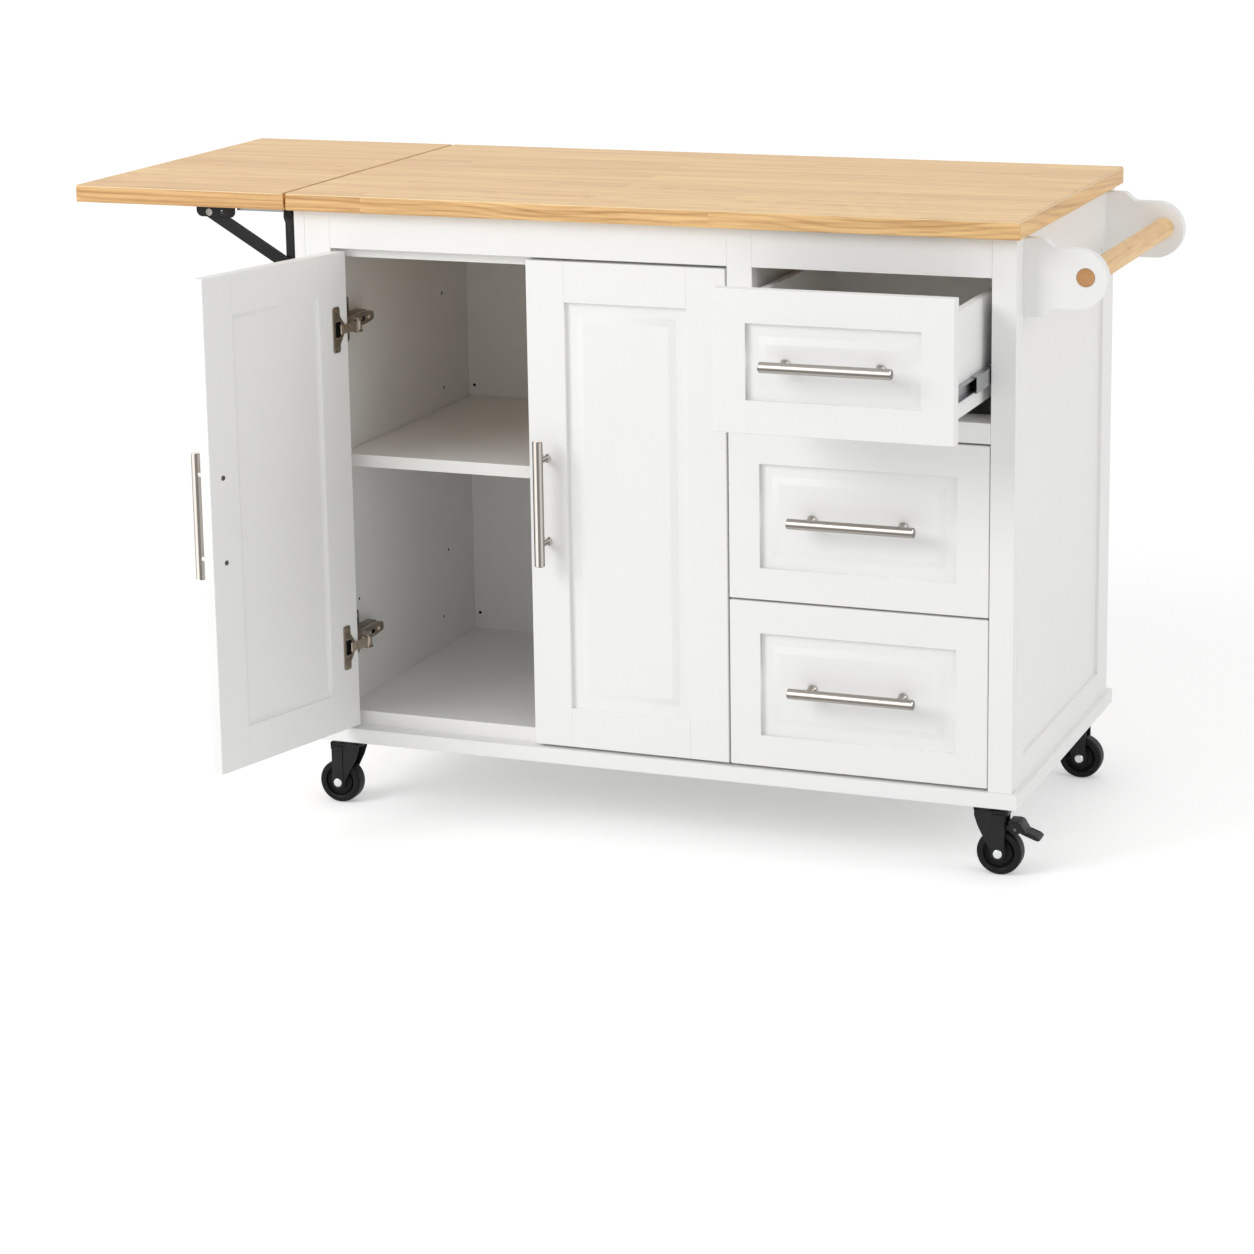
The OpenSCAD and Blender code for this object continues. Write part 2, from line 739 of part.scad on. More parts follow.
module drawer_front_1() { drawer_front(0); }
module drawer_front_2() { drawer_front(1); }
module drawer_front_3() { drawer_front(2); }
module drawer_box_1() { drawer_box(0); }
module drawer_box_2() { drawer_box(1); }
module drawer_box_3() { drawer_box(2); }
module drawer_bottom_1() { drawer_bottom(0); }
module drawer_bottom_2() { drawer_bottom(1); }
module drawer_bottom_3() { drawer_bottom(2); }
module drawer_handle_1() { drawer_handle(0); }
module drawer_handle_2() { drawer_handle(1); }
module drawer_handle_3() { drawer_handle(2); }

// Slide sections, from the wall at x = 0 towards the drawer: channels of height h between x0 and x1,
// with their web at x0 or, turned, at x1
module channel(x0, x1, h, y0, len, web_at_x1) {
  difference() {
    translate([x0, y0, -h / 2]) cube([x1 - x0, len, h]);
    translate([web_at_x1 ? x0 - eps : x0 + slide_steel, y0 - eps, -h / 2 + slide_steel])
      cube([x1 - x0 - slide_steel + eps, len + 2 * eps, h - 2 * slide_steel]);
  }
}

slide_mid_h = slide_h - 2 * (slide_steel + slide_gap);
slide_inner_h = slide_mid_h - 2 * (slide_steel + slide_gap);
slide_flange = slide_space - 3;
slide_inner_in = 1;

// Both slides of drawer i: the section at the left, and its mirror image at the right
module slide_pair(i) {
  translate([drawer_x0, 0, slide_z[i]]) children();
  translate([drawer_x1, 0, slide_z[i]]) mirror([1, 0, 0]) children();
}

module slide_outers() {
  color(steel) at_origin() for (i = [0:2])
    slide_pair(i) channel(0, slide_flange, slide_h, inner_y0, box_depth, false);
}

module slide_mid(i) {
  x0 = slide_steel + slide_gap;
  color(steel) at_origin() translate([0, -drawer_out[i] / 2, 0])
    slide_pair(i) channel(x0, slide_flange, slide_mid_h, inner_y0, box_depth, false);
}

module slide_inner(i) {
  x0 = 2 * (slide_steel + slide_gap);
  color(steel) drawer_place(i)
    slide_pair(i) channel(x0 + slide_inner_in, slide_space, slide_inner_h, box_y0, box_depth, true);
}

module slide_mid_1() { slide_mid(0); }
module slide_mid_2() { slide_mid(1); }
module slide_mid_3() { slide_mid(2); }
module slide_inner_1() { slide_inner(0); }
module slide_inner_2() { slide_inner(1); }
module slide_inner_3() { slide_inner(2); }

// Wall plates: a flange on the cabinet's side, an ear with both pivots, and the leaf's pivot pin
ear_r = 9;
wall_plate_h = 109;
wall_flange_w = 20;
pin_end = 1.5;
washer_r = 6;
wall_screw_in = 8;
wall_screw_z = [22, 25];
screw_head_r = 4;
screw_head_h = 1.2;
module wall_plate(y) {
  flange_z0 = pivot_z + ear_r - wall_plate_h;
  low_z = pivot_z - strut_drop;
  difference() {
    union() {
      translate([body_x0 - bracket_steel, y, flange_z0]) cube([bracket_steel, wall_flange_w, wall_plate_h]);
      plate_xz(y, bracket_steel) {
        polygon([[body_x0, flange_z0], [body_x0, pivot_z + ear_r], [pivot_x, pivot_z + ear_r],
                 [pivot_x - ear_r, pivot_z], [pivot_x - ear_r, low_z], [pivot_x, low_z - ear_r]]);
        translate([pivot_x, pivot_z]) circle(r = ear_r);
        translate([pivot_x, low_z]) circle(r = ear_r);
      }
    }
    rod_y(pivot_x, low_z, y - eps, y + bracket_steel + eps, pivot_pin_r + run_gap);
  }
  rod_y(pivot_x, pivot_z, y, y + layer + bracket_steel + pin_end, pivot_pin_r);
  rod_y(pivot_x, pivot_z, y - pin_end, y, washer_r);
  for (z = [flange_z0 + wall_screw_z[0], pivot_z - wall_screw_z[1]])
    rod_x(body_x0 - bracket_steel - screw_head_h, body_x0 - bracket_steel,
          y + wall_flange_w - wall_screw_in, z, screw_head_r);
}

module leaf_wall_plates() { color(dark) at_origin() for (y = bracket_y) wall_plate(y); }

// Leaf plates: a flange under the leaf, an ear round the pivot pin and a side plate at the strut's pin,
// which reaches side_x[0] past the pin and side_x[1] back from it and has the locking hole
leaf_flange_w = 24;
flange_end = 16;
flange_lip = 6;
side_h = 14;
side_x = [7, 32];
lock_hole_x = 20;
lock_hole_r = 3.5;
leaf_screw_y = 15;
leaf_screw_in = [20, 35];
module leaf_plate(y) {
  y0 = y + layer;
  flange_x0 = pivot_x - fold_reach - flange_end;
  side_x0 = pivot_x - strut_reach - side_x[0];
  side_len = side_x[0] + side_x[1];
  difference() {
    union() {
      translate([flange_x0, y0, body_z1 - bracket_steel])
        cube([pivot_x + ear_r - flange_x0, leaf_flange_w, bracket_steel]);
      translate([flange_x0, y0, body_z1 - flange_lip]) cube([pivot_x - flange_x0, bracket_steel, flange_lip]);
      plate_xz(y0, bracket_steel) {
        translate([pivot_x, pivot_z]) circle(r = ear_r);
        translate([pivot_x - ear_r, pivot_z]) square([2 * ear_r, leaf_pivot_drop]);
        for (x = [side_x0, side_x0 + side_len]) translate([x, pivot_z]) circle(r = side_h / 2);
        translate([side_x0 - side_h / 2, pivot_z]) square([side_len + side_h, leaf_pivot_drop]);
        translate([side_x0, pivot_z - side_h / 2]) square([side_len, side_h]);
      }
    }
    rod_y(pivot_x, pivot_z, y0 - eps, y0 + bracket_steel + eps, pivot_pin_r + run_gap);
    rod_y(pivot_x - strut_reach + lock_hole_x, pivot_z, y0 - eps, y0 + bracket_steel + eps, lock_hole_r);
  }
  for (x = [flange_x0 + leaf_screw_in[0], pivot_x - strut_reach, pivot_x - leaf_screw_in[1]])
    translate([x, y0 + leaf_screw_y, body_z1 - bracket_steel - screw_head_h])
      cylinder(r = screw_head_r, h = screw_head_h);
}

module leaf_brackets() { color(dark) at_origin() for (y = bracket_y) leaf_plate(y); }

// Strut with its lower rivet through the wall plate and its upper rivet short of the leaf plate
strut_washer = [8.6, 1];
rivet_head = [6, 1.6];
upper_head = [5.5, 2];
pin_short = 0.4;
module strut(y) {
  y0 = y - layer;
  y1 = y0 + bracket_steel;
  y_washer = y0 - strut_washer[1];
  color(dark) at_origin() {
    translate([pivot_x, 0, pivot_z - strut_drop]) rotate([0, strut_angle, 0]) {
      translate([-strut_len, y0, -strut_w / 2]) cube([strut_len, bracket_steel, strut_w]);
      for (x = [0, -strut_len]) rod_y(x, 0, y0, y1, strut_w / 2);
      rod_y(0, 0, y_washer, y0, strut_washer[0]);
      rod_y(0, 0, y_washer - rivet_head[1], y_washer, rivet_head[0]);
      rod_y(0, 0, y1, y + bracket_steel + pin_end, pivot_pin_r);
      rod_y(-strut_len, 0, y0 - upper_head[1], y0, upper_head[0]);
      rod_y(-strut_len, 0, y1, y + layer - pin_short, pivot_pin_r);
    }
  }
}

module strut_front() { strut(bracket_y[0]); }
module strut_rear() { strut(bracket_y[1]); }

// Top plates with their kingpins and bolts
plate_size = 62;
plate_bolt = [24, 4.5, 2.5];
pin_foot = [8, 5];
module caster_plate() {
  pin_z0 = crown_z - pin_foot[1];
  translate([-plate_size / 2, -plate_size / 2, caster_h - plate_t]) cube([plate_size, plate_size, plate_t]);
  translate([0, 0, pin_z0]) cylinder(d = kingpin_d, h = caster_h - plate_t - pin_z0);
  translate([0, 0, pin_z0]) cylinder(r = pin_foot[0], h = pin_foot[1] - rest_gap);
  for (x = [-1, 1], y = [-1, 1])
    translate([x * plate_bolt[0], y * plate_bolt[0], caster_h - plate_t - plate_bolt[2]])
      cylinder(r = plate_bolt[1], h = plate_bolt[2]);
}

module caster_plates() {
  color(steel) at_origin() for (x = caster_x, y = caster_y) translate([x, y, 0]) caster_plate();
}

// Fork from its swivel axis, trailing towards +X: bearing cup, crown, two legs and the axle bolt
race_r = 19;
fork_x = [-17, 25];
leg_drop = [12, 14];
leg_foot_r = 11;
leg_foot_rise = 3;
bolt_head = [7, 3];
bolt_nut = [6.5, 4];
module fork() {
  leg_out = leg_in + leg_t;
  crown_top = crown_z + crown_t;
  difference() {
    union() {
      translate([0, 0, crown_top]) cylinder(r = race_r, h = race_h);
      translate([fork_x[0], -leg_out, crown_z]) cube([fork_x[1] - fork_x[0], 2 * leg_out, crown_t]);
      for (y = [-leg_out, leg_in]) plate_xz(y, leg_t) {
        polygon([[fork_x[0], crown_top], [fork_x[1], crown_top], [fork_x[1], crown_z - leg_drop[1]],
                 [trail + leg_foot_r, wheel_r], [trail - leg_foot_r, wheel_r - leg_foot_rise],
                 [fork_x[0], crown_z - leg_drop[0]]]);
        translate([trail, wheel_r]) circle(r = leg_foot_r);
      }
    }
    translate([0, 0, crown_z - eps]) cylinder(r = kingpin_d / 2 + run_gap, h = race_h + crown_t + 2 * eps);
    rod_y(trail, wheel_r, -leg_out - eps, leg_out + eps, axle_d / 2);
  }
  rod_y(trail, wheel_r, -leg_out, leg_out, axle_d / 2);
  rod_y(trail, wheel_r, -leg_out - bolt_head[1], -leg_out, bolt_head[0]);
  rod_y(trail, wheel_r, leg_out, leg_out + bolt_nut[1], bolt_nut[0]);
}

// Place of a caster: side 0 is the left, 1 the right; row 0 is the front, 1 the back
module caster_place(side, row) {
  at_origin() translate([caster_x[side], caster_y[row], 0]) mirror([1 - side, 0, 0]) children();
}

module fork_front_left() { color(dark) caster_place(0, 0) fork(); }
module fork_rear_left() { color(dark) caster_place(0, 1) fork(); }
module fork_rear_right() { color(dark) caster_place(1, 1) fork(); }

// Arm of the braked fork: down from the crown and forward to the pedal's pin
pedal_arm_x = [22, 25];
pedal_arm_up = 3.5;
pedal_arm_down = 2.5;
pedal_arm_r = 4.5;
module fork_front_right() {
  top = pedal_z + pedal_arm_up;
  color(dark) caster_place(1, 0) {
    fork();
    plate_xz(-pedal_arm_half, 2 * pedal_arm_half) {
      polygon([[pedal_arm_x[0], crown_z], [pedal_arm_x[1], crown_z], [pedal_arm_x[1], top], [pedal_x, top],
               [pedal_x, pedal_z - pedal_arm_down], [pedal_arm_x[0], pedal_z - pedal_arm_down]]);
      translate([pedal_x, pedal_z]) circle(r = pedal_arm_r);
    }
    rod_y(pedal_x, pedal_z, -pedal_half, pedal_half, pedal_pin_r);
  }
}

// Wheel with a tread, dished sides and a hub
wheel_hub_r = 11;
wheel_rim_r = 22;
wheel_dish = 5;
dish_slope = 2;
tread_round = 3;
module wheel() {
  half = wheel_w / 2;
  bore = axle_d / 2 + run_gap;
  side = [[bore, half], [wheel_hub_r, half], [wheel_hub_r + dish_slope, half - wheel_dish],
          [wheel_rim_r - dish_slope, half - wheel_dish], [wheel_rim_r, half],
          [wheel_r - tread_round, half], [wheel_r, half - tread_round]];
  translate([trail, 0, wheel_r]) rotate([90, 0, 0]) rotate_extrude()
    polygon(concat([for (p = side) [p[0], -p[1]]], [for (i = [len(side) - 1:-1:0]) side[i]]));
}

module wheel_front_left() { color(dark) caster_place(0, 0) wheel(); }
module wheel_front_right() { color(dark) caster_place(1, 0) wheel(); }
module wheel_rear_left() { color(dark) caster_place(0, 1) wheel(); }
module wheel_rear_right() { color(dark) caster_place(1, 1) wheel(); }

// Brake pedal: two cheeks on the arm's pin, a bent cover over the arm and a sloping tread.
// Places are from the pin, X forward
pedal_boss_r = 7.5;
cover_x = [-9.5, 4, 14];
cover_z = [8, 10.5];
cover_foot = [13, -6];
cover_t = 2.5;
tread_size = [26, 5];
tread_in = 10;
tread_tilt = 20;
module brake_pedal() {
  outside = [[cover_x[0], cover_z[0]], [cover_x[0], cover_z[1]], [cover_x[1], cover_z[1]], [cover_x[2], 0],
             cover_foot];
  inside = [cover_foot - [cover_t, 0], [cover_x[2] - cover_t - 1, 0], [cover_x[1] - 1, cover_z[0]]];
  color(dark) caster_place(1, 0) translate([pedal_x, 0, pedal_z]) difference() {
    union() {
      for (y = [-pedal_half, pedal_half - pedal_cheek_t]) plate_xz(y, pedal_cheek_t) {
        circle(r = pedal_boss_r);
        polygon(concat(outside, [[0, eps - pedal_boss_r]]));
      }
      plate_xz(-pedal_half, 2 * pedal_half) polygon(concat(outside, inside));
      rotate([0, tread_tilt, 0]) translate([tread_in, -pedal_half - eps / 2, -tread_size[1] / 2])
        cube([tread_size[0], 2 * pedal_half + eps, tread_size[1]]);
    }
    for (y = [-pedal_half, pedal_half - pedal_cheek_t])
      rod_y(0, 0, y - eps, y + pedal_cheek_t + eps, pedal_pin_r + run_gap);
  }
}

worktop();
leaf();
side_left();
side_right();
side_panels();
inner_walls();
divider();
back_panel();
base_board();
bottom_board();
top_stretchers();
outer_stiles();
centre_stile();
rails();
shelf();
shelf_pegs();
towel_brackets();
towel_rod();
hinge_arms();
hinge_links_left();
hinge_links_right();
slide_outers();
leaf_wall_plates();
caster_plates();
fork_front_left();
fork_front_right();
fork_rear_left();
fork_rear_right();
wheel_front_left();
wheel_front_right();
wheel_rear_left();
wheel_rear_right();
brake_pedal();
door_left();
door_right();
handle_left();
handle_right();
hinge_cups_left();
hinge_cups_right();
drawer_front_1();
drawer_front_2();
drawer_front_3();
drawer_box_1();
drawer_box_2();
drawer_box_3();
drawer_bottom_1();
drawer_bottom_2();
drawer_bottom_3();
drawer_handle_1();
drawer_handle_2();
drawer_handle_3();
slide_inner_1();
slide_inner_2();
slide_inner_3();
slide_mid_1();
slide_mid_2();
slide_mid_3();
leaf_brackets();
strut_front();
strut_rear();
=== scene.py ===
"""Rolling kitchen island: finishes and fine pieces of its top, carcass, fronts, fittings and casters."""

import json
import math
from types import SimpleNamespace

import bmesh
import bpy
from bpy.props import FloatProperty, FloatVectorProperty, PointerProperty
from mathutils import Matrix, Vector


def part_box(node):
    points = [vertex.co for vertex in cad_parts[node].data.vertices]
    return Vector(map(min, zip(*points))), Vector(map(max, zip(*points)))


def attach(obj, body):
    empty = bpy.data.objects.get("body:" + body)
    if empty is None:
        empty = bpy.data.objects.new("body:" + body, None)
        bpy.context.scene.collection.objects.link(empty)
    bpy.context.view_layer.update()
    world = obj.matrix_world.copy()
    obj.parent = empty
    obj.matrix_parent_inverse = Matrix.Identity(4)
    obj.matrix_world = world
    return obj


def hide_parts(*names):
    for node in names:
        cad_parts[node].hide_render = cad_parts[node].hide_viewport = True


bl_info = {
    "name": "Rolling Kitchen Island",
    "version": (1, 0, 0),
    "blender": (4, 5, 0),
    "location": "View3D > Sidebar > Island",
    "description": "Dresses a rolling kitchen island with its timber, paint, fittings and casters",
    "category": "Object",
}

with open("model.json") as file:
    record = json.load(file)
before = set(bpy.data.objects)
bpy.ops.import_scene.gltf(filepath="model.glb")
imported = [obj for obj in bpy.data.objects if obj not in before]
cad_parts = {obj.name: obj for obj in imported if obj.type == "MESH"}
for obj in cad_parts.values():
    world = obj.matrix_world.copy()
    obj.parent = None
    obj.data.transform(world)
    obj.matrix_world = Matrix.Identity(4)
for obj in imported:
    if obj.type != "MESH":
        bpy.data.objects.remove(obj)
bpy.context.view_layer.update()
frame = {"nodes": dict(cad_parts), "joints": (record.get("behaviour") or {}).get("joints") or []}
JOINTS = {j["name"]: j for j in frame["joints"]}
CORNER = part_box("worktop")[0]
MM = 0.001
QUARTER = math.pi / 2
SIDES = ("left", "right")
LEVELS = {1: "upper", 2: "middle", 3: "lower"}


def size(name, default, description):
    """Length property in metres, written here in millimetres."""
    return FloatProperty(name=name, default=default * MM, description=description, unit="LENGTH", precision=4)


def power(name, default, description):
    """Power of a lamp in watts."""
    return FloatProperty(name=name, default=default, description=description, unit="POWER")


def share(name, default, description):
    """Share from 0 to 1."""
    return FloatProperty(name=name, default=default, description=description, min=0, max=1, subtype="FACTOR")


def linear(c):
    """Scene value of a screen value from 0 to 255."""
    c = c / 255
    return c / 12.92 if c <= 0.04045 else ((c + 0.055) / 1.055) ** 2.4


def tint(name, default, description):
    """Colour property, written here as screen values from 0 to 255."""
    return FloatVectorProperty(name=name, default=[linear(c) for c in default], description=description,
                               subtype="COLOR", size=3, min=0, max=1)


class StageSettings(bpy.types.PropertyGroup):
    """Floor, lamps and background"""
    sky: share("Sky", 0.66, "Strength of the even light from all sides")
    key: power("Key lamp", 99, "Power of the lamp at the front left")
    fill: power("Fill lamp", 27, "Power of the lamp at the right")
    floor: tint("Floor", (242, 242, 241), "Colour of the floor")
    shadow: share("Shadow", 0.9, "Depth of the shadow that the camera sees on the white floor")


class FinishSettings(bpy.types.PropertyGroup):
    """Colours of the finishes"""
    timber_light: tint("Light timber", (247, 210, 151), "Earlywood of the top, leaf and rod")
    timber_dark: tint("Dark timber", (205, 149, 88), "Latewood of the top, leaf and rod")
    paint: tint("Paint", (243, 243, 242), "Paint of the carcass and fronts")
    inside: tint("Inside paint", (246, 245, 242), "Paint of the cupboard's inside")
    nickel: tint("Nickel", (216, 209, 201), "Brushed nickel of the handles")
    hinge: tint("Hinge metal", (170, 158, 144), "Plating of the hinges")
    slide: tint("Slide steel", (170, 171, 173), "Zinc of the drawer slides")
    zinc: tint("Zinc", (176, 174, 170), "Zinc of bolts and plates")
    bright: tint("Bright zinc", (222, 224, 226), "Polished zinc of the casters' plates and bolts")
    brass: tint("Kingpin", (170, 148, 108), "Yellow zinc of the kingpins")
    black: tint("Black steel", (17, 17, 18), "Powder coat of brackets and forks")
    rubber: tint("Wheel", (15, 15, 16), "Moulded wheels")


class FrontSettings(bpy.types.PropertyGroup):
    """Doors and drawer fronts"""
    door_margin: size("Door frame", 57, "Width of the doors' frame")
    drawer_margin: size("Drawer frame", 45, "Width of the drawer fronts' frame")
    bevel: size("Bevel", 27, "Width from the recess's edge to the raised field")
    recess: size("Recess", 7, "Depth of the recess")
    field: size("Field", 2, "Depth of the raised field behind the frame")
    slope: size("Slope", 10, "Width of the slope up to the raised field")
    step: size("Step", 3.6, "Height of the small step round the field")
    edge: size("Edge", 1.6, "Rounding of the outer edges")
    seam: size("Seam", 0.22, "Hairline gap at the frame's joints")
    hollow: size("Hollow", 4, "Depth of the panel on the doors' inside")


class FittingSettings(bpy.types.PropertyGroup):
    """Handles and hinges"""
    handle_length: size("Handle", 180, "Length of the bar handles")
    handle_bar: size("Bar", 14.6, "Thickness of the handles' bar")
    handle_post: size("Post", 9, "Thickness of the handles' posts")
    handle_out: size("Handle depth", 31, "From the front's face to the middle of the bar")
    handle_edge: size("Handle from edge", 26, "From a door's free edge to its handle")
    door_handle: size("Handle height", 360, "Middle of the doors' handle over the door's foot")
    door_posts: size("Door posts", 120, "Between the posts of the doors' handles")
    drawer_posts: size("Drawer posts", 130, "Between the posts of the drawers' handles")
    hinge_high: size("Upper hinges", 721.5, "Middle of the upper hinges over the floor")
    hinge_low: size("Lower hinges", 254, "Middle of the lower hinges over the floor")
    rod: size("Towel rod", 30, "Thickness of the towel rod between its brackets")
    bracket: size("Bracket", 18, "Thickness of the towel rail's brackets")


class CasterSettings(bpy.types.PropertyGroup):
    """Casters"""
    wheel: size("Wheel", 64, "Diameter of the wheels")
    wheel_width: size("Wheel width", 24, "Width of the wheels")
    trail: size("Trail", 20, "From the swivel axis to the wheel's axle")


def settings_of(block):
    """Names of a block's own settings."""
    return [p.identifier for p in block.bl_rna.properties if p.identifier not in ("rna_type", "name")]


def lengths(block):
    """Settings of a block that holds lengths only, in millimetres."""
    return SimpleNamespace(**{name: getattr(block, name) / MM for name in settings_of(block)})


# Wiring of materials


class Wires:
    """Nodes of one tree, put down and joined by short calls."""

    def __init__(self, tree):
        self.tree = tree

    def put(self, kind, inputs=(), **settings):
        node = self.tree.nodes.new("ShaderNode" + kind)
        for key, value in settings.items():
            setattr(node, key, value)
        for key, value in dict(inputs).items():
            self.join(value, node.inputs[key])
        return node

    def join(self, value, socket):
        if isinstance(value, bpy.types.NodeSocket):
            self.tree.links.new(value, socket)
        elif value is not None:
            wide = hasattr(socket.default_value, "__len__") and len(socket.default_value) == 4
            socket.default_value = (*value, 1) if wide and len(value) == 3 else value

    def math(self, operation, a, b=None, clamp=False):
        return self.put("Math", {0: a, 1: b}, operation=operation, use_clamp=clamp).outputs[0]

    def add(self, a, b):
        return self.math("ADD", a, b)

    def times(self, a, b, clamp=False):
        return self.math("MULTIPLY", a, b, clamp)

    def vector(self, operation, a, b):
        return self.put("VectorMath", {0: a, 1: b}, operation=operation).outputs[0]

    def parts(self, vector):
        return self.put("SeparateXYZ", {0: vector}).outputs

    def mix(self, factor, a, b):
        return self.put("Mix", {0: factor, 6: a, 7: b}, data_type="RGBA").outputs[2]

    def spread(self, value, low, high, to_low=0.0, to_high=1.0):
        return self.put("MapRange", dict(enumerate((value, low, high, to_low, to_high)))).outputs[0]

    def stretch(self, vector, scale=(1, 1, 1), turn=(0, 0, 0)):
        return self.put("Mapping", {"Vector": vector, "Scale": scale, "Rotation": turn}).outputs[0]

    def noise(self, vector, scale, detail, roughness):
        if isinstance(scale, tuple):
            vector, scale = self.stretch(vector, scale), 1.0
        inputs = {"Vector": vector, "Scale": scale, "Detail": detail, "Roughness": roughness}
        return self.put("TexNoise", inputs).outputs[0]


def effect(name, inputs, outputs, draw):
    """Node group with named sockets; draw gets its wires and inputs and returns its outputs."""
    group = bpy.data.node_groups.new(name, "ShaderNodeTree")
    for label, kind, default in inputs:
        socket = group.interface.new_socket(label, in_out="INPUT", socket_type="NodeSocket" + kind)
        if default is not None:
            socket.default_value = default
    for label, kind in outputs:
        group.interface.new_socket(label, in_out="OUTPUT", socket_type="NodeSocket" + kind)
    source, target = group.nodes.new("NodeGroupInput"), group.nodes.new("NodeGroupOutput")
    wires = Wires(group)
    for value, socket in zip(draw(wires, {s.name: s for s in source.outputs}), target.inputs):
        wires.join(value, socket)


STAVES = {"Scale": 1.0, "Mortar Size": 0.0, "Brick Width": 0.52, "Row Height": 0.058,
          "Color1": (0, 0, 0, 1), "Color2": (1, 1, 1, 1)}


def draw_grain(w, given):
    """Staves with their own tone and growth rings, streaks and fine fibres; the grain runs along X."""
    p = given["Vector"]
    stave = w.put("TexBrick", {"Vector": p, **STAVES}, offset=0.37).outputs["Color"]
    p = w.vector("ADD", p, w.vector("MULTIPLY", stave, (2.1, 0.05, 0.04)))
    drift = w.spread(w.noise(p, (1.6, 6, 6), 2, 0.5), 0.3, 0.7, -0.03, 0.03)
    parts = w.parts(p)
    across = w.add(parts[1], drift)
    deep = w.add(parts[2], w.add(drift, 0.06))
    radius = w.math("SQRT", w.add(w.times(across, across), w.times(deep, deep)))
    jitter = w.noise(p, (4, 60, 60), 3, 0.6)
    turns = w.add(w.times(radius, given["Rings"]), w.times(jitter, 1.3))
    late = w.math("POWER", w.times(w.math("PINGPONG", turns, 0.5), 2.0), 2.4)
    broad = w.noise(p, (2.6, 38, 60), 4, 0.6)
    streak = w.noise(p, (3.4, 150, 230), 4, 0.65)
    fibre = w.noise(p, (26, 1100, 1100), 2, 0.6)
    tone = w.times(late, given["Contrast"])
    for value, low, high, least, most in ((broad, 0.36, 0.7, 0.0, 0.42), (streak, 0.45, 0.75, -0.04, 0.34),
                                          (fibre, 0.35, 0.7, -0.06, 0.08), (stave, 0.0, 1.0, -0.1, 0.14)):
        tone = w.add(tone, w.spread(value, low, high, least, most))
    tone = w.times(tone, given["Depth"], clamp=True)
    return w.mix(tone, given["Light"], given["Dark"]), w.spread(fibre, 0.2, 0.8), tone


def draw_paint(w, given):
    """Sprayed paint: faint clouding, fine orange peel and a little handling dirt."""
    p = given["Vector"]
    cloud = w.noise(p, 4.5, 3, 0.5)
    peel = w.noise(p, 620.0, 2, 0.5)
    dirt = w.spread(w.noise(p, 11.0, 5, 0.65), 0.52, 0.8)
    tone = w.add(w.times(dirt, given["Dirt"]), w.spread(cloud, 0.3, 0.7, 0.0, 0.012))
    sheen = w.add(w.spread(cloud, 0.3, 0.7, -0.03, 0.04), w.times(dirt, 0.05))
    return w.mix(tone, given["Color"], given["Shade"]), sheen, peel


def draw_brushed(w, given):
    """Metal with fine scratches along the vector's X and faint spots."""
    p = given["Vector"]
    lines = w.noise(p, (9, 1500, 1500), 3, 0.6)
    spots = w.noise(p, 90.0, 4, 0.6)
    tone = w.add(w.spread(lines, 0.3, 0.7, 0.0, 0.14), w.spread(spots, 0.4, 0.75, 0.0, 0.1))
    return w.mix(tone, given["Color"], given["Shade"]), w.spread(lines, 0.3, 0.7, -0.05, 0.06), lines


def draw_grit(w, given):
    """Powder coat or moulded plastic: pebbled, with paler rubbed patches."""
    p = given["Vector"]
    pebble = w.noise(p, given["Grain"], 2, 0.5)
    rub = w.spread(w.noise(p, 35.0, 5, 0.7), 0.5, 0.78)
    return w.mix(w.times(rub, given["Rub"]), given["Color"], given["Shade"]), rub, pebble


PLACE = ("Vector", "Vector", None)
COLOURS = [PLACE, ("Color", "Color", None), ("Shade", "Color", None)]
SHEEN = [("Color", "Color"), ("Sheen shift", "Float"), ("Height", "Float")]
GROUPS = {
    "Timber grain": ([PLACE, ("Light", "Color", None), ("Dark", "Color", None), ("Rings", "Float", 150.0),
                      ("Contrast", "Float", 0.25), ("Depth", "Float", 1.0)],
                     [("Color", "Color"), ("Height", "Float"), ("Tone", "Float")], draw_grain),
    "Sprayed paint": ([*COLOURS, ("Dirt", "Float", 0.05)], SHEEN, draw_paint),
    "Brushed metal": (COLOURS, SHEEN, draw_brushed),
    "Grit": ([*COLOURS, ("Grain", "Float", 900.0), ("Rub", "Float", 0.2)],
             [("Color", "Color"), ("Rubbed", "Float"), ("Height", "Float")], draw_grit),
}


def blank(name, constants=()):
    """Material with fresh wires: the wires, its shader and the piece's own coordinates."""
    material = bpy.data.materials.get(name) or bpy.data.materials.new(name)
    material.use_nodes = True
    material.node_tree.nodes.clear()
    wires = Wires(material.node_tree)
    shader = wires.put("BsdfPrincipled", constants)
    wires.put("OutputMaterial", {"Surface": shader.outputs[0]})
    return wires, shader, wires.put("TexCoord").outputs["Object"]


def placed(wires, name, **values):
    """Outputs of a shared effect, placed with its own values."""
    return wires.put("Group", values, node_tree=bpy.data.node_groups[name]).outputs


def surface(w, shader, colour, roughness, height, depth, strength):
    """Colour, roughness and relief of a shader."""
    bump = w.put("Bump", {"Strength": strength, "Distance": depth, "Height": height})
    for key, value in (("Base Color", colour), ("Roughness", roughness), ("Normal", bump.outputs[0])):
        w.join(value, shader.inputs[key])


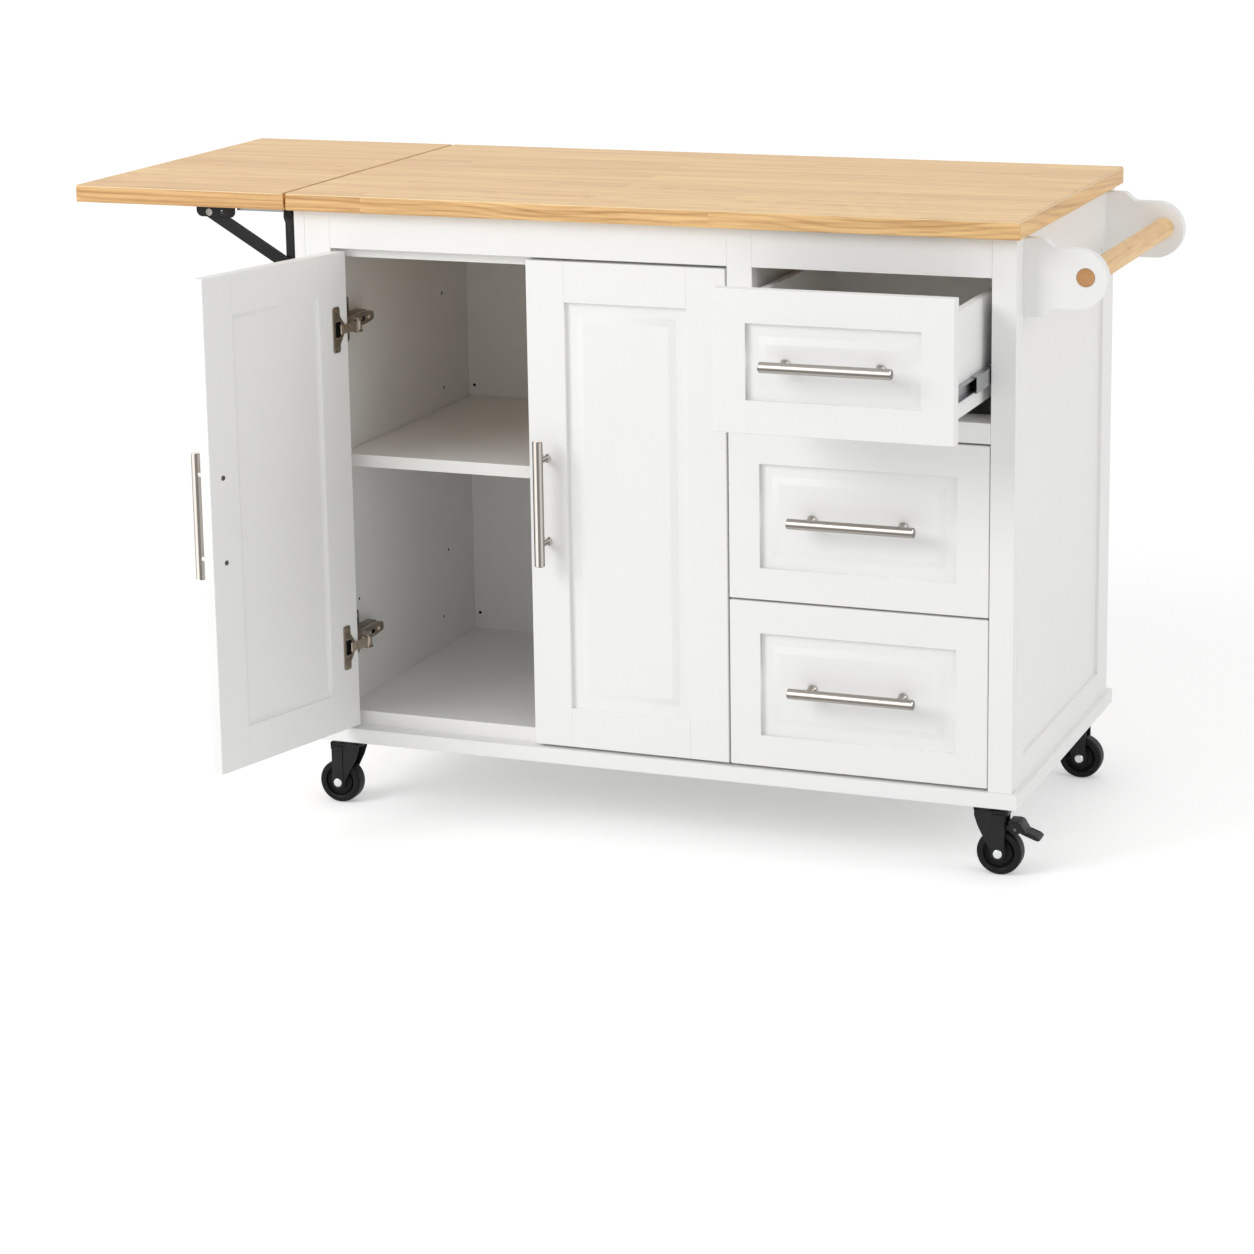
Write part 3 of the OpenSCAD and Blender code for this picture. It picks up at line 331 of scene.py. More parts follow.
def timber(name, light, dark, turn=(0, 0, 0), shift=(0, 0, 0), rings=150.0, side_shade=0.0, end=0.0,
           joined=0.0):
    """Oiled timber, its grain along X after the turn; front and back faces are deeper and warmer in tone as
    painted shade, ends too, as end grain and painted shade, and its top edges get a pale painted highlight but
    for the side where it meets its neighbour (joined: 1 right, -1 left)."""
    w, shader, place = blank(name, {"Coat Weight": 0.1, "Coat Roughness": 0.35})
    place = w.stretch(w.vector("ADD", place, shift), turn=turn)
    depth = 1.0
    # Painted shade: front and back faces deeper in tone; the ends deeper too, as end grain and painted shade,
    # with their grain turned.
    if side_shade:
        parts = w.parts(w.put("TexCoord").outputs["Normal"])
        side, cross = (w.math("ABSOLUTE", parts[i]) for i in (1, 0))
        place = w.mix(w.spread(cross, 0.5, 0.8), place, w.stretch(place, (1, 0.3, 1), (0.28, 0, QUARTER)))
        depth = w.add(1.0, w.add(w.times(side, side_shade), w.times(cross, end)))
    out = placed(w, "Timber grain", Vector=place, Light=light, Dark=dark, Rings=rings, Depth=depth)
    colour = out["Color"]
    if side_shade:
        # Painted shade: upright faces mixed towards a warmer, deeper copy of the tone.
        vertical_face_shade = w.times(w.math("MAXIMUM", side, cross), 0.7)
        shaded_face_light = [c * k for c, k in zip(light, (0.95, 0.86, 0.74))]
        colour = w.mix(vertical_face_shade, colour, w.mix(out["Tone"], shaded_face_light, [c * 0.72 for c in dark]))
        # Painted highlight: a pale line along the rounded top edges, by the normal's slant, left off on the
        # joined side.
        slant = w.math("ABSOLUTE", w.math("SUBTRACT", w.times(parts[2], 3.2), 1.6))
        edge_highlight = w.math("SUBTRACT", 1.6, slant, clamp=True)
        free = w.spread(w.times(parts[0], joined), 0.1, 0.4, 0.9, 0.0)
        colour = w.mix(w.times(edge_highlight, free), colour, (0.97, 0.76, 0.48))
    surface(w, shader, colour, w.spread(out["Tone"], 0.0, 1.0, 0.52, 0.4), out["Height"], 0.00005, 0.5)


def paint(name, colour, dirt=0.05, roughness=0.42):
    """Sprayed paint."""
    w, shader, place = blank(name)
    out = placed(w, "Sprayed paint", Vector=place, Color=colour, Shade=[c * 0.72 for c in colour], Dirt=dirt)
    surface(w, shader, out["Color"], w.add(out["Sheen shift"], roughness), out["Height"], 0.00003, 0.5)


# Painted reflection round the handles' bars: (facing, tone) stops by the normal, light and dark bands standing
# for the surroundings, for level bars and for upright bars.
LEVEL_REFLECTION_BANDS = ((-1, 0.55), (-0.46, 0.5), (-0.32, 0.17), (0.02, 0.17), (0.14, 1.42), (0.46, 1.42),
                 (0.6, 0.52), (1, 0.45))
UPRIGHT_REFLECTION_BANDS = ((-1, 0.3), (-0.56, 0.3), (-0.44, 1.42), (0.08, 1.42), (0.2, 0.16), (0.55, 0.2),
                   (0.7, 0.85), (0.9, 0.85), (0.97, 0.3), (1, 0.3))


def brushed(name, colour, turn=(0, 0, 0), roughness=0.28, shade=0.55, axis=0, reflection_bands=()):
    """Brushed metal; its optional stripes are (facing, tone) stops of a painted reflection round a bar, by its
    normal's axis.
    """
    w, shader, place = blank(name, {"Metallic": 1.0})
    place = w.stretch(place, turn=turn)
    out = placed(w, "Brushed metal", Vector=place, Color=colour, Shade=[c * shade for c in colour])
    tone = out["Color"]
    # Painted reflection: light and dark bands by the normal's facing, mixed over the metal's own tone.
    if reflection_bands:
        normal = w.parts(w.put("TexCoord").outputs["Normal"])
        reflection_ramp = w.put("ValToRGB", {0: w.spread(normal[axis], -1.0, 1.0)})
        stops = reflection_ramp.color_ramp.elements
        for facing, level in reflection_bands:
            stop = {-1: stops[0], 1: stops[-1]}.get(facing) or stops.new((facing + 1) / 2)
            stop.color = (*(min(1, c * level) for c in colour), 1)
        tone = w.mix(0.85, tone, reflection_ramp.outputs[0])
    surface(w, shader, tone, w.add(out["Sheen shift"], roughness), out["Height"], 0.00002, 0.4)


def gritty(name, colour, shade, grain, rub, roughness, gloss=0.3):
    """Powder coat or plastic; shade is the grey of its rubbed patches."""
    w, shader, place = blank(name, {"Specular IOR Level": gloss})
    out = placed(w, "Grit", Vector=place, Color=colour, Shade=[shade] * 3, Grain=grain, Rub=rub)
    dull = w.spread(out["Rubbed"], 0.0, 1.0, roughness, roughness - 0.12)
    surface(w, shader, out["Color"], dull, out["Height"], 0.00005, 0.6)


UPWARDS, BACKWARDS = (0, QUARTER, 0), (0, 0, QUARTER)


def mix_finishes(f):
    """All materials of the island, by name."""
    for name, (inputs, outputs, draw) in GROUPS.items():
        effect(name, inputs, outputs, draw)
    light, dark = list(f.timber_light), list(f.timber_dark)
    burnt = [c * k for c, k in zip(light, (0.6, 0.44, 0.34))]
    nickel, hinge, zinc, rubber = list(f.nickel), list(f.hinge), list(f.zinc), list(f.rubber)
    # Worktop and leaf: painted shade on their upright faces and a painted highlight along their top edges.
    timber("worktop_wood", light, dark, shift=(0.3, 0.11, -0.82), side_shade=0.75, end=0.6, joined=-1.0)
    timber("leaf_wood", light, dark, shift=(1.79, 0.02, -0.84), side_shade=0.45, end=0.6, joined=1.0)
    timber("rod_wood", light, dark, BACKWARDS, (-0.7, 0.4, -0.82), 70.0)
    timber("rod_end_wood", burnt, [c * 0.5 for c in dark], BACKWARDS, rings=320.0)
    paint("white_paint", list(f.paint))
    paint("interior_paint", list(f.inside), 0.12, 0.5)
    # Handles: brushed nickel with painted reflection bands round their bars.
    brushed("nickel", nickel, axis=2, reflection_bands=LEVEL_REFLECTION_BANDS)
    brushed("nickel_upright", nickel, UPWARDS, reflection_bands=UPRIGHT_REFLECTION_BANDS)
    brushed("hinge_nickel", hinge, UPWARDS, 0.32)
    # Painted highlight and painted shade: lighter and darker copies of the hinge metal, for the ridges, links
    # and screws, and for the arms' feet.
    brushed("hinge_bright", [min(1, c * 1.7) for c in hinge], UPWARDS, 0.26)
    brushed("hinge_dark", [c * 0.7 for c in hinge], UPWARDS, 0.36)
    brushed("slide_steel", list(f.slide), BACKWARDS, 0.34)
    brushed("zinc", zinc, roughness=0.3)
    brushed("bright_zinc", list(f.bright), roughness=0.22, shade=0.8)
    # Painted shade: a darker copy of the zinc, for the screws on the fronts' backs, the leaf's wall screws,
    # its lock holes and the brake's pin ends.
    brushed("dark_zinc", [c * 0.3 for c in zinc], roughness=0.4)
    brushed("kingpin_zinc", list(f.brass), roughness=0.3)
    gritty("black_steel", list(f.black), 0.03, 900.0, 0.25, 0.42)
    gritty("wheel_black", rubber, 0.012, 500.0, 0.4, 0.46, 0.2)
    gritty("pedal_black", rubber, 0.025, 700.0, 0.4, 0.42)
    # Near-black: the slide stops' own black, and painted shade in the holes, hinge wells and slots.
    gritty("shadow_black", [0.004] * 3, 0.01, 600.0, 0.2, 0.8, 0.1)


# Places, in metres, moved and turned by millimetres and degrees


def at(x, y, z):
    """Point in millimetres from the worktop's left end, from its front edge and from the floor."""
    return Vector((CORNER.x + x * MM, CORNER.y + y * MM, z * MM))


def spot(x, y, z):
    """Frame at such a point."""
    return Matrix.Translation(at(x, y, z))


def move(x, y, z):
    return Matrix.Translation((x * MM, y * MM, z * MM))


def rotate(degrees, axis):
    return Matrix.Rotation(math.radians(degrees), 4, axis)


# Plates lie in the local XY plane: FRONT stands them up facing the front, SIDE facing the right
FRONT = rotate(90, "X")
SIDE = Matrix(((0, 0, 1, 0), (1, 0, 0, 0), (0, 1, 0, 0), (0, 0, 0, 1)))
BACK = rotate(-90, "X")
OVER = rotate(180, "X")
MIRROR = Matrix.Scale(-1, 4, (1, 0, 0))
ORIGIN = spot(0, 0, 0)
LEFT_DOOR_OPEN = 105


def box(node):
    """Lowest and highest corner of a carried-over node, in millimetres."""
    return [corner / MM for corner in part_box(node)]


def joint(name):
    """Place of a joint, in millimetres."""
    return Vector(JOINTS[name]["pos_m"]) / MM


def within(place, name):
    """Place of a joint as seen from a frame, in millimetres."""
    return (place.inverted() @ (joint(name) * MM)) / MM


def door_place(side):
    """Frame of a door: X from its hinge edge, Y back from its face, Z up from its foot."""
    low, high = box("door_right")
    if side == "right":
        return move(high.x, low.y, low.z) @ MIRROR
    axis, other = joint("left_door_hinge"), joint("right_door_hinge")
    hung = move(axis.x, axis.y, low.z) @ rotate(-LEFT_DOOR_OPEN, "Z")
    return hung @ move(other.x - high.x, low.y - other.y, 0)


def caster_place(row, side):
    """Frame of a caster on the floor under its swivel axis, its trail towards local +X."""
    swivel = joint(f"{row}_{side}_swivel")
    return move(swivel.x, swivel.y, 0) @ (Matrix() if side == "right" else MIRROR)


# Shapes, all in millimetres


FACES = {"-x": (0, 4, 6, 2), "+x": (1, 3, 7, 5), "-y": (0, 1, 5, 4), "+y": (2, 6, 7, 3),
         "-z": (0, 2, 3, 1), "+z": (4, 5, 7, 6)}
BEVEL_UNIT = 2
STEEP = math.radians(32)


def blanks(count):
    return [bmesh.new() for _ in range(count)]


def weight_layer(bm):
    return bm.edges.layers.float.get("bevel_weight_edge") or bm.edges.layers.float.new("bevel_weight_edge")


def add_board(bm, low, high, soft, place=Matrix()):
    """Board between two corners. soft is the rounding of its edges, one length or one for each face."""
    weights = weight_layer(bm)
    soft = soft if isinstance(soft, dict) else dict.fromkeys(FACES, soft)
    verts = [bm.verts.new(place @ Vector([(low, high)[i >> a & 1][a] * MM for a in range(3)]))
             for i in range(8)]
    faces = {side: bm.faces.new([verts[i] for i in corners]) for side, corners in FACES.items()}
    for a, face in faces.items():
        for edge in face.edges:
            b = next(side for side, other in faces.items() if other is not face and edge in other.edges[:])
            edge[weights] = min(1.0, min(soft[a], soft[b]) / BEVEL_UNIT)


def add_steps(bm, w, h, steps, soft):
    """Nested rectangles within w by h, each (inset, depth), joined in order; soft rounds each crease."""
    weights = weight_layer(bm)
    loops = [[bm.verts.new((x * MM, depth * MM, z * MM))
              for x, z in ((i, i), (w - i, i), (w - i, h - i), (i, h - i))] for i, depth in steps]
    for a, b in zip(loops, loops[1:]):
        for i in range(4):
            bm.faces.new((a[i], a[(i + 1) % 4], b[(i + 1) % 4], b[i]))
    bm.faces.new(loops[-1])
    for loop, width in zip(loops, soft):
        for i in range(4):
            bm.edges.get((loop[i], loop[(i + 1) % 4]))[weights] = width / BEVEL_UNIT
    return loops


def add_turned(bm, profile, place, steps):
    """Turned shape: (radius, height) points round the local Z axis."""
    rings = []
    for r, h in profile:
        if r < 1e-4:
            rings.append([bm.verts.new(place @ Vector((0, 0, h * MM)))])
        else:
            rings.append([bm.verts.new(place @ (Vector((r * math.cos(t), r * math.sin(t), h)) * MM))
                          for t in (2 * math.pi * i / steps for i in range(steps))])
    for a, b in zip(rings, rings[1:]):
        for i in range(steps):
            j = (i + 1) % steps
            corners = [a[i % len(a)], a[j % len(a)], b[j % len(b)], b[i % len(b)]]
            unique = list(dict.fromkeys(corners))
            if len(unique) > 2:
                bm.faces.new(unique)


def add_plate(bm, outlines, thickness, place, edge, resolution=1):
    """Plate in the local XY plane from Z 0 up, cut to the first outline, with the others as holes."""
    curve = bpy.data.curves.new("outline", "CURVE")
    curve.dimensions = "2D"
    curve.fill_mode = "BOTH"
    curve.extrude = (thickness / 2 - edge) * MM
    curve.bevel_depth = edge * MM
    curve.bevel_resolution = resolution
    curve.offset = -edge * MM
    for index, points in enumerate(outlines):
        area = sum(a[0] * b[1] - b[0] * a[1] for a, b in zip(points, points[1:] + points[:1]))
        if (area < 0) == (index == 0):
            points = points[::-1]
        spline = curve.splines.new("POLY")
        spline.points.add(len(points) - 1)
        for target, (x, y) in zip(spline.points, points):
            target.co = (x * MM, y * MM, 0, 1)
        spline.use_cyclic_u = True
    holder = bpy.data.objects.new("outline", curve)
    bpy.context.scene.collection.objects.link(holder)
    bpy.context.view_layer.update()
    mesh = bpy.data.meshes.new_from_object(holder.evaluated_get(bpy.context.evaluated_depsgraph_get()))
    bpy.data.objects.remove(holder)
    bpy.data.curves.remove(curve)
    mesh.transform(place @ move(0, 0, thickness / 2))
    bm.from_mesh(mesh)
    bpy.data.meshes.remove(mesh)


def arc(cx, cy, r, start, end, steps):
    """Points on an arc, in degrees."""
    angles = [math.radians(start + (end - start) * i / steps) for i in range(steps + 1)]
    return [(cx + r * math.cos(a), cy + r * math.sin(a)) for a in angles]


def disc(cx, cy, r, steps):
    return arc(cx, cy, r, 0, 360 * (steps - 1) / steps, steps - 1)


def rounded(points, radius, steps=5):
    """Outline through the given corners, each rounded by its radius."""
    radii = radius if isinstance(radius, list) else [radius] * len(points)
    out = []
    for i, (corner, r) in enumerate(zip(points, radii)):
        c = Vector(corner)
        a = (Vector(points[i - 1]) - c).normalized()
        b = (Vector(points[(i + 1) % len(points)]) - c).normalized()
        half = a.angle(b) / 2
        if r <= 0 or abs(half - QUARTER) < 1e-3:
            out.append(tuple(c))
            continue
        reach = r / math.tan(half)
        centre = c + (a + b).normalized() * (r / math.sin(half))
        first, last = c + a * reach - centre, c + b * reach - centre
        for k in range(steps + 1):
            out.append(tuple(centre + first.lerp(last, k / steps).normalized() * r))
    return out


def rectangle(x0, y0, x1, y1, radius, steps=5):
    return rounded([(x0, y0), (x1, y0), (x1, y1), (x0, y1)], radius, steps)


# Profiles of a rivet with a hollow middle and of a screw, as shares of their radius and height
RIVET = ((1, 0), (1, 0.55), (0.9, 0.9), (0.78, 1), (0.66, 0.95), (0.58, 0.45), (0.3, 0.4), (0.24, 0.15),
         (0, 0.1))
SCREW = ((1, 0), (0.96, 0.45), (0.75, 0.8), (0.55, 0.86), (0, 0.86))
WEDGE = ((0.1, 0.1), (0.62, 0.1), (0.42, 0.42), (0.1, 0.62))


def add_rivet(bm, place, radius, height):
    """Rivet head with a raised ring round its hollow middle."""
    add_turned(bm, [(radius * a, height * b) for a, b in RIVET], place, 28)


def add_screw(bm, place, radius, height):
    """Domed screw head with a cross cut into it as four quarters standing proud."""
    add_turned(bm, [(radius * a, height * b) for a, b in SCREW], place, 24)
    wedge = [(radius * a, radius * b) for a, b in WEDGE]
    for turn in (0, 90, 180, 270):
        quarter = place @ rotate(turn, "Z") @ move(0, 0, height * 0.8)
        add_plate(bm, [wedge], height * 0.3, quarter, height * 0.08)


def add_hole(bm, place, radius):
    """Dark disc with a soft rim, painted shade for the inside of a drilled hole."""
    add_turned(bm, [(radius, 0), (radius, 0.1), (radius * 0.8, 0.16), (0, 0.16)], place, 20)


def tidy_mesh(bm):
    """Closed up and smooth, but sharp at steep edges that get no rounding."""
    bmesh.ops.remove_doubles(bm, verts=bm.verts, dist=1e-6)
    bmesh.ops.recalc_face_normals(bm, faces=bm.faces)
    weights = weight_layer(bm)
    for edge in bm.edges:
        edge.smooth = edge[weights] > 0 or edge.calc_face_angle(0) < STEEP
    mesh = bpy.data.meshes.new("piece")
    bm.to_mesh(mesh)
    bm.free()
    mesh.shade_smooth()
    return mesh


def hand_over(name, bm, finish, body, stands_for=(), boards=False):
    """Piece from a mesh in the island's frame: it gets its finish and rides on its body."""
    mesh = tidy_mesh(bm)
    mesh.name = name
    piece = bpy.data.objects.new(name, mesh)
    bpy.context.scene.collection.objects.link(piece)
    mesh.materials.append(bpy.data.materials[finish])
    if boards:
        bevel = piece.modifiers.new("Edges", "BEVEL")
        bevel.limit_method = "WEIGHT"
        bevel.width = BEVEL_UNIT * MM
        bevel.segments = 2
        bevel.use_clamp_overlap = False
        piece.modifiers.new("Shading", "WEIGHTED_NORMAL").keep_sharp = True
    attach(piece, body)
    if stands_for:
        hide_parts(*stands_for)


def dress(finish, edge, *nodes):
    """Carried-over nodes: their finish, and softened edges."""
    for node in nodes:
        piece = frame["nodes"][node]
        piece.data.materials.clear()
        piece.data.materials.append(bpy.data.materials[finish])
        if edge:
            piece.modifiers.new("Weld", "WELD").merge_threshold = 1e-6
            bevel = piece.modifiers.new("Edges", "BEVEL")
            bevel.width = edge * MM
            bevel.segments = 2
            bevel.limit_method = "ANGLE"
            bevel.angle_limit = math.radians(28)
            bevel.harden_normals = True


class ISLAND_OT_finishes(bpy.types.Operator):
    """Timber, paints, metals and plastics"""
    bl_idname = "island.finishes"
    bl_label = "Finishes"

    def execute(self, context):
        mix_finishes(context.scene.island_finish)
        return {"FINISHED"}


# Places of the pegs' spare holes in the left wall, from the front and from the floor
PEG_HOLES = ((424, 558), (400, 198), (424, 706), (104, 300), (424, 300))


class ISLAND_OT_carcass(bpy.types.Operator):
    """Worktop, leaf, face frame, side frames, base and the inside"""
    bl_idname = "island.carcass"
    bl_label = "Carcass"

    def execute(self, context):
        g = lengths(context.scene.island_front)
        dress("worktop_wood", 1.3, "worktop")
        dress("leaf_wood", 1.3, "leaf")
        dress("white_paint", 0.9, "base_board", "outer_stiles", "centre_stile", "rails")
        dress("white_paint", 0, "side_panels")
        dress("interior_paint", 0.7, "inner_walls", "divider", "back_panel", "bottom_board",
              "top_stretchers", "shelf")
        dress("nickel", 0.4, "shelf_pegs")
        (_, front, foot), (_, back, top) = box("side_panels")
        for side in SIDES:
            low, high = box(f"side_{side}")
            bm = bmesh.new()
            for y0, y1, z0, z1 in ((low.y, front, low.z, high.z), (back, high.y, low.z, high.z),
                                   (front + g.seam, back - g.seam, low.z, foot),
                                   (front + g.seam, back - g.seam, top, high.z)):
                add_board(bm, (low.x, y0, z0), (high.x, y1, z1), 0)
            hand_over(f"{side}_side_frame", bm, "white_paint", "carcass", [f"side_{side}"], boards=True)
        rims, holes = blanks(2)
        places = [spot(45, y, z) @ SIDE for y, z in PEG_HOLES] + [spot(54, 519, z) @ FRONT for z in (545, 175)]
        for place in places:
            add_turned(rims, [(4, 0), (4, 0.2), (2.5, 0.3), (2.5, 0)], place, 20)
            add_hole(holes, place, 2.4)
        hand_over("peg_hole_rims", rims, "interior_paint", "carcass")
        # Holes: near-black discs, painted shade in the pegs' spare holes.
        hand_over("peg_holes", holes, "shadow_black", "carcass")
        return {"FINISHED"}


def raised_panel(g, m):
    """Steps of a front from its frame's inner edge, m from the outside, to the raised field."""
    return [(m + 2, g.recess), (m + g.bevel - g.slope, g.field + g.step), (m + g.bevel, g.field)]


def add_door(bm, w, h, t, g):
    """Frame of two stiles and two rails, a seam apart, with a panel raised in front and sunk behind."""
    m, seam, tuck = g.door_margin, g.seam, g.door_margin - 4
    outer = {**dict.fromkeys(FACES, g.edge), "+y": g.edge * 0.5}
    add_board(bm, (0, 0, 0), (m, t, h), {**outer, "+x": 0})
    add_board(bm, (w - m, 0, 0), (w, t, h), {**outer, "-x": 0})
    add_board(bm, (m + seam, 0, 0), (w - m - seam, t, m), {**outer, "-x": 0, "+x": 0, "+z": 0})
    add_board(bm, (m + seam, 0, h - m), (w - m - seam, t, h), {**outer, "-x": 0, "+x": 0, "-z": 0})
    add_steps(bm, w, h, [(tuck, g.recess + 2), (tuck, g.recess), *raised_panel(g, m)], [0] + [0.5] * 4)
    back = t - g.hollow
    inside = [(tuck, back - 2), (tuck, back + 1.8), (m + 0.2, back + 1.8), (m + 7, back), (m + 30, back)]
    add_steps(bm, w, h, inside, [0] + [0.4] * 4)


def add_drawer_front(bm, w, h, t, g):
    """Front in one piece: a frame round a raised panel, and a flat back."""
    m, edge = g.drawer_margin, g.edge
    steps = [(0, t), (0, 0), (m, 0), (m, g.recess), *raised_panel(g, m)]
    loops = add_steps(bm, w, h, steps, [edge * 0.5, edge] + [0.5] * 5)
    bm.faces.new(loops[0][::-1])
    weights = weight_layer(bm)
    for a, b in zip(*loops[:2]):
        bm.edges.get((a, b))[weights] = edge / BEVEL_UNIT


class ISLAND_OT_doors(bpy.types.Operator):
    """Frame-and-panel doors"""
    bl_idname = "island.doors"
    bl_label = "Doors"

    def execute(self, context):
        g = lengths(context.scene.island_front)
        low, high = box("door_right")
        for side in SIDES:
            bm = bmesh.new()
            add_door(bm, high.x - low.x, high.z - low.z, high.y - low.y, g)
            bm.transform(door_place(side))
            hand_over(f"{side}_door_boards", bm, "white_paint", f"{side}_door", [f"door_{side}"], boards=True)
        return {"FINISHED"}


class ISLAND_OT_drawer_fronts(bpy.types.Operator):
    """Frame-and-panel drawer fronts"""
    bl_idname = "island.drawer_fronts"
    bl_label = "Drawer fronts"

    def execute(self, context):
        g = lengths(context.scene.island_front)
        for i, level in LEVELS.items():
            low, high = box(f"drawer_front_{i}")
            bm = bmesh.new()
            add_drawer_front(bm, high.x - low.x, high.z - low.z, high.y - low.y, g)
            bm.transform(move(*low))
            hand_over(f"{level}_drawer_boards", bm, "white_paint", f"{level}_drawer", [f"drawer_front_{i}"],
                      boards=True)
        return {"FINISHED"}


BALL = [(0, -2.3), (1.6, -1.6), (2.3, 0), (1.6, 1.6), (0, 2.3)]
STOP = [(0, -7), (16, -7), (22, -3), (22, 3), (16, 7), (0, 7)]


class ISLAND_OT_drawer_boxes(bpy.types.Operator):
    """Drawer boxes and their slides"""
    bl_idname = "island.drawer_boxes"
    bl_label = "Drawer boxes and slides"

    def execute(self, context):
        for i, level in LEVELS.items():
            dress("white_paint", 1.2, f"drawer_box_{i}")
            dress("interior_paint", 0, f"drawer_bottom_{i}")
            dress("slide_steel", 0.3, f"slide_inner_{i}", f"slide_mid_{i}")
            low, high = box(f"drawer_box_{i}")
            rail_low, rail_high = box(f"slide_mid_{i}")
            end, middle = rail_low.y, (rail_low.z + rail_high.z) / 2
            screws, cages, stops = blanks(3)
            for side, x, wall in ((-1, low.x, rail_low.x), (1, high.x, rail_high.x)):
                across = rotate(side * 90, "Y")
                gap = side * abs(wall - x)
                for y in (12, 150, 300):
                    add_screw(screws, move(x + gap * 0.2, low.y + y, middle) @ across, 3.2, 1.4)
                # Painted shade: a near-black disc for a hole in the drawer's side.
                add_hole(stops, move(x, low.y + 18, high.z - 58) @ across, 2.5)
                inner = x + gap * 0.45 - (2 if side < 0 else 0)
                add_plate(stops, [rounded(STOP, 1.5)], 2, move(inner, end + 2, middle) @ SIDE, 0.4)
                for z in (middle - 6.6, middle + 6.6):
                    near, far = sorted((x + gap * 0.42, x + gap * 0.62))
                    add_board(cages, (near, end + 24, z - 1.2), (far, end + 120, z + 1.2), 0.3)
                    for k in range(10):
                        add_turned(cages, BALL, move(x + gap * 0.52, end + 29 + 9.5 * k, z), 12)
            rail = f"{level}_slide_middles"
            hand_over(f"{level}_slide_screws", screws, "zinc", f"{level}_drawer")
            hand_over(f"{level}_slide_balls", cages, "zinc", rail, boards=True)
            # Stops in their own near-black; the hole discs with them are painted shade.
            hand_over(f"{level}_slide_stops", stops, "shadow_black", rail)
        dress("slide_steel", 0.3, "slide_outers")
        return {"FINISHED"}


def add_handle(body, node, finish, place, g, spacing, screws_at):
    """Bar along the local Z axis on two posts that reach back along Y, and the screws behind them."""
    bars, screws = blanks(2)
    half, r, c, p = g.handle_length / 2, g.handle_bar / 2, 1.1, g.handle_post / 2
    add_turned(bars, [(0, -half), (r - c, -half), (r, -half + c), (r, half - c), (r - c, half), (0, half)],
               place @ move(0, -g.handle_out, 0), 32)
    post = [(p, g.handle_out - r * 0.5), (p, 5), (p * 1.06, 3.6), (p * 1.3, 2.2), (p * 1.42, 1.1),
            (p * 1.4, 0.1), (0, 0.1)]
    for z in (-spacing / 2, spacing / 2):
        add_turned(bars, post, place @ move(0, 0, z) @ FRONT, 24)
        add_screw(screws, place @ move(0, screws_at, z) @ BACK, 3.6, 1.8)
    hand_over(f"{body}_handle", bars, finish, body, [node])
    # Screws on the front's back in the darker copy of the zinc, painted shade.
    hand_over(f"{body}_screws", screws, "dark_zinc", body)


class ISLAND_OT_handles(bpy.types.Operator):
    """Bar handles of the doors and drawers, with their screws"""
    bl_idname = "island.handles"
    bl_label = "Handles"

    def execute(self, context):
        g = lengths(context.scene.island_fitting)
        low, high = box("door_right")
        thick = high.y - low.y
        for side in SIDES:
            place = door_place(side) @ move(high.x - low.x - g.handle_edge, 0, g.door_handle)
            add_handle(f"{side}_door", f"handle_{side}", "nickel_upright", place, g, g.door_posts, thick)
        for i, level in LEVELS.items():
            low, high = box(f"drawer_front_{i}")
            place = move((low.x + high.x) / 2, low.y, (low.z + high.z) / 2) @ rotate(90, "Y")
            add_handle(f"{level}_drawer", f"drawer_handle_{i}", "nickel", place, g, g.drawer_posts, thick + 12)
        return {"FINISHED"}


CUP_PLATE = 1.4
CUP_SCREWS = ((21, 28), (27.5, 26.5), (21, -28), (27.5, -29.5))


def cup_outline():
    """Cup plate from the door's hinge edge: a tall plate with a wing round the cup."""
    wing = arc(24, 0, 17.5, 130, 205, 8)
    points = [(32, -33), (32, 33), (17, 33), (17, 20), *wing, (17, -22), (17, -33)]
    return rounded(points, [4, 4, 4, 3, *[0] * len(wing), 3, 4])


def add_cups(side, g):
    """Cup plates on a door's back, with near-black plates as painted shade in their wells and screw holes, and
    their ridges and screws.
    """
    low, high = box("door_right")
    cups, dark, rims = blanks(3)
    for level in (g.hinge_high, g.hinge_low):
        face = door_place(side) @ move(0, high.y - low.y + CUP_PLATE, level - low.z) @ FRONT
        add_plate(cups, [cup_outline(), rectangle(15, -11, 27, 11, 2)], CUP_PLATE, face, 0.4)
        for z in (12.2, -13.6):
            add_plate(rims, [rectangle(16, z, 27, z + 1.4, 0.6)], 1, face @ move(0, 0, -0.6), 0.3)
        # Painted shade: a near-black plate in the cup's opening.
        add_plate(dark, [rectangle(14.3, -11.7, 27.7, 11.7, 2)], 0.4, face @ move(0, 0, CUP_PLATE - 0.5), 0.1)
        for x, z in CUP_SCREWS:
            place = face @ move(x, z, 0) @ OVER
            add_turned(rims, [(2, -0.3), (2, 0.35), (1.2, 0.4), (1, -0.2)], place, 16)
            add_hole(dark, place, 1.1)
    door = f"{side}_door"
    hand_over(f"{side}_hinge_cups", cups, "hinge_nickel", door, [f"hinge_cups_{side}"])
    # Wells and screw holes near-black as painted shade; ridges and screws in the lighter copy of the hinge
    # metal, a painted highlight.
    hand_over(f"{side}_hinge_wells", dark, "shadow_black", door)
    hand_over(f"{side}_hinge_ridges", rims, "hinge_bright", door)


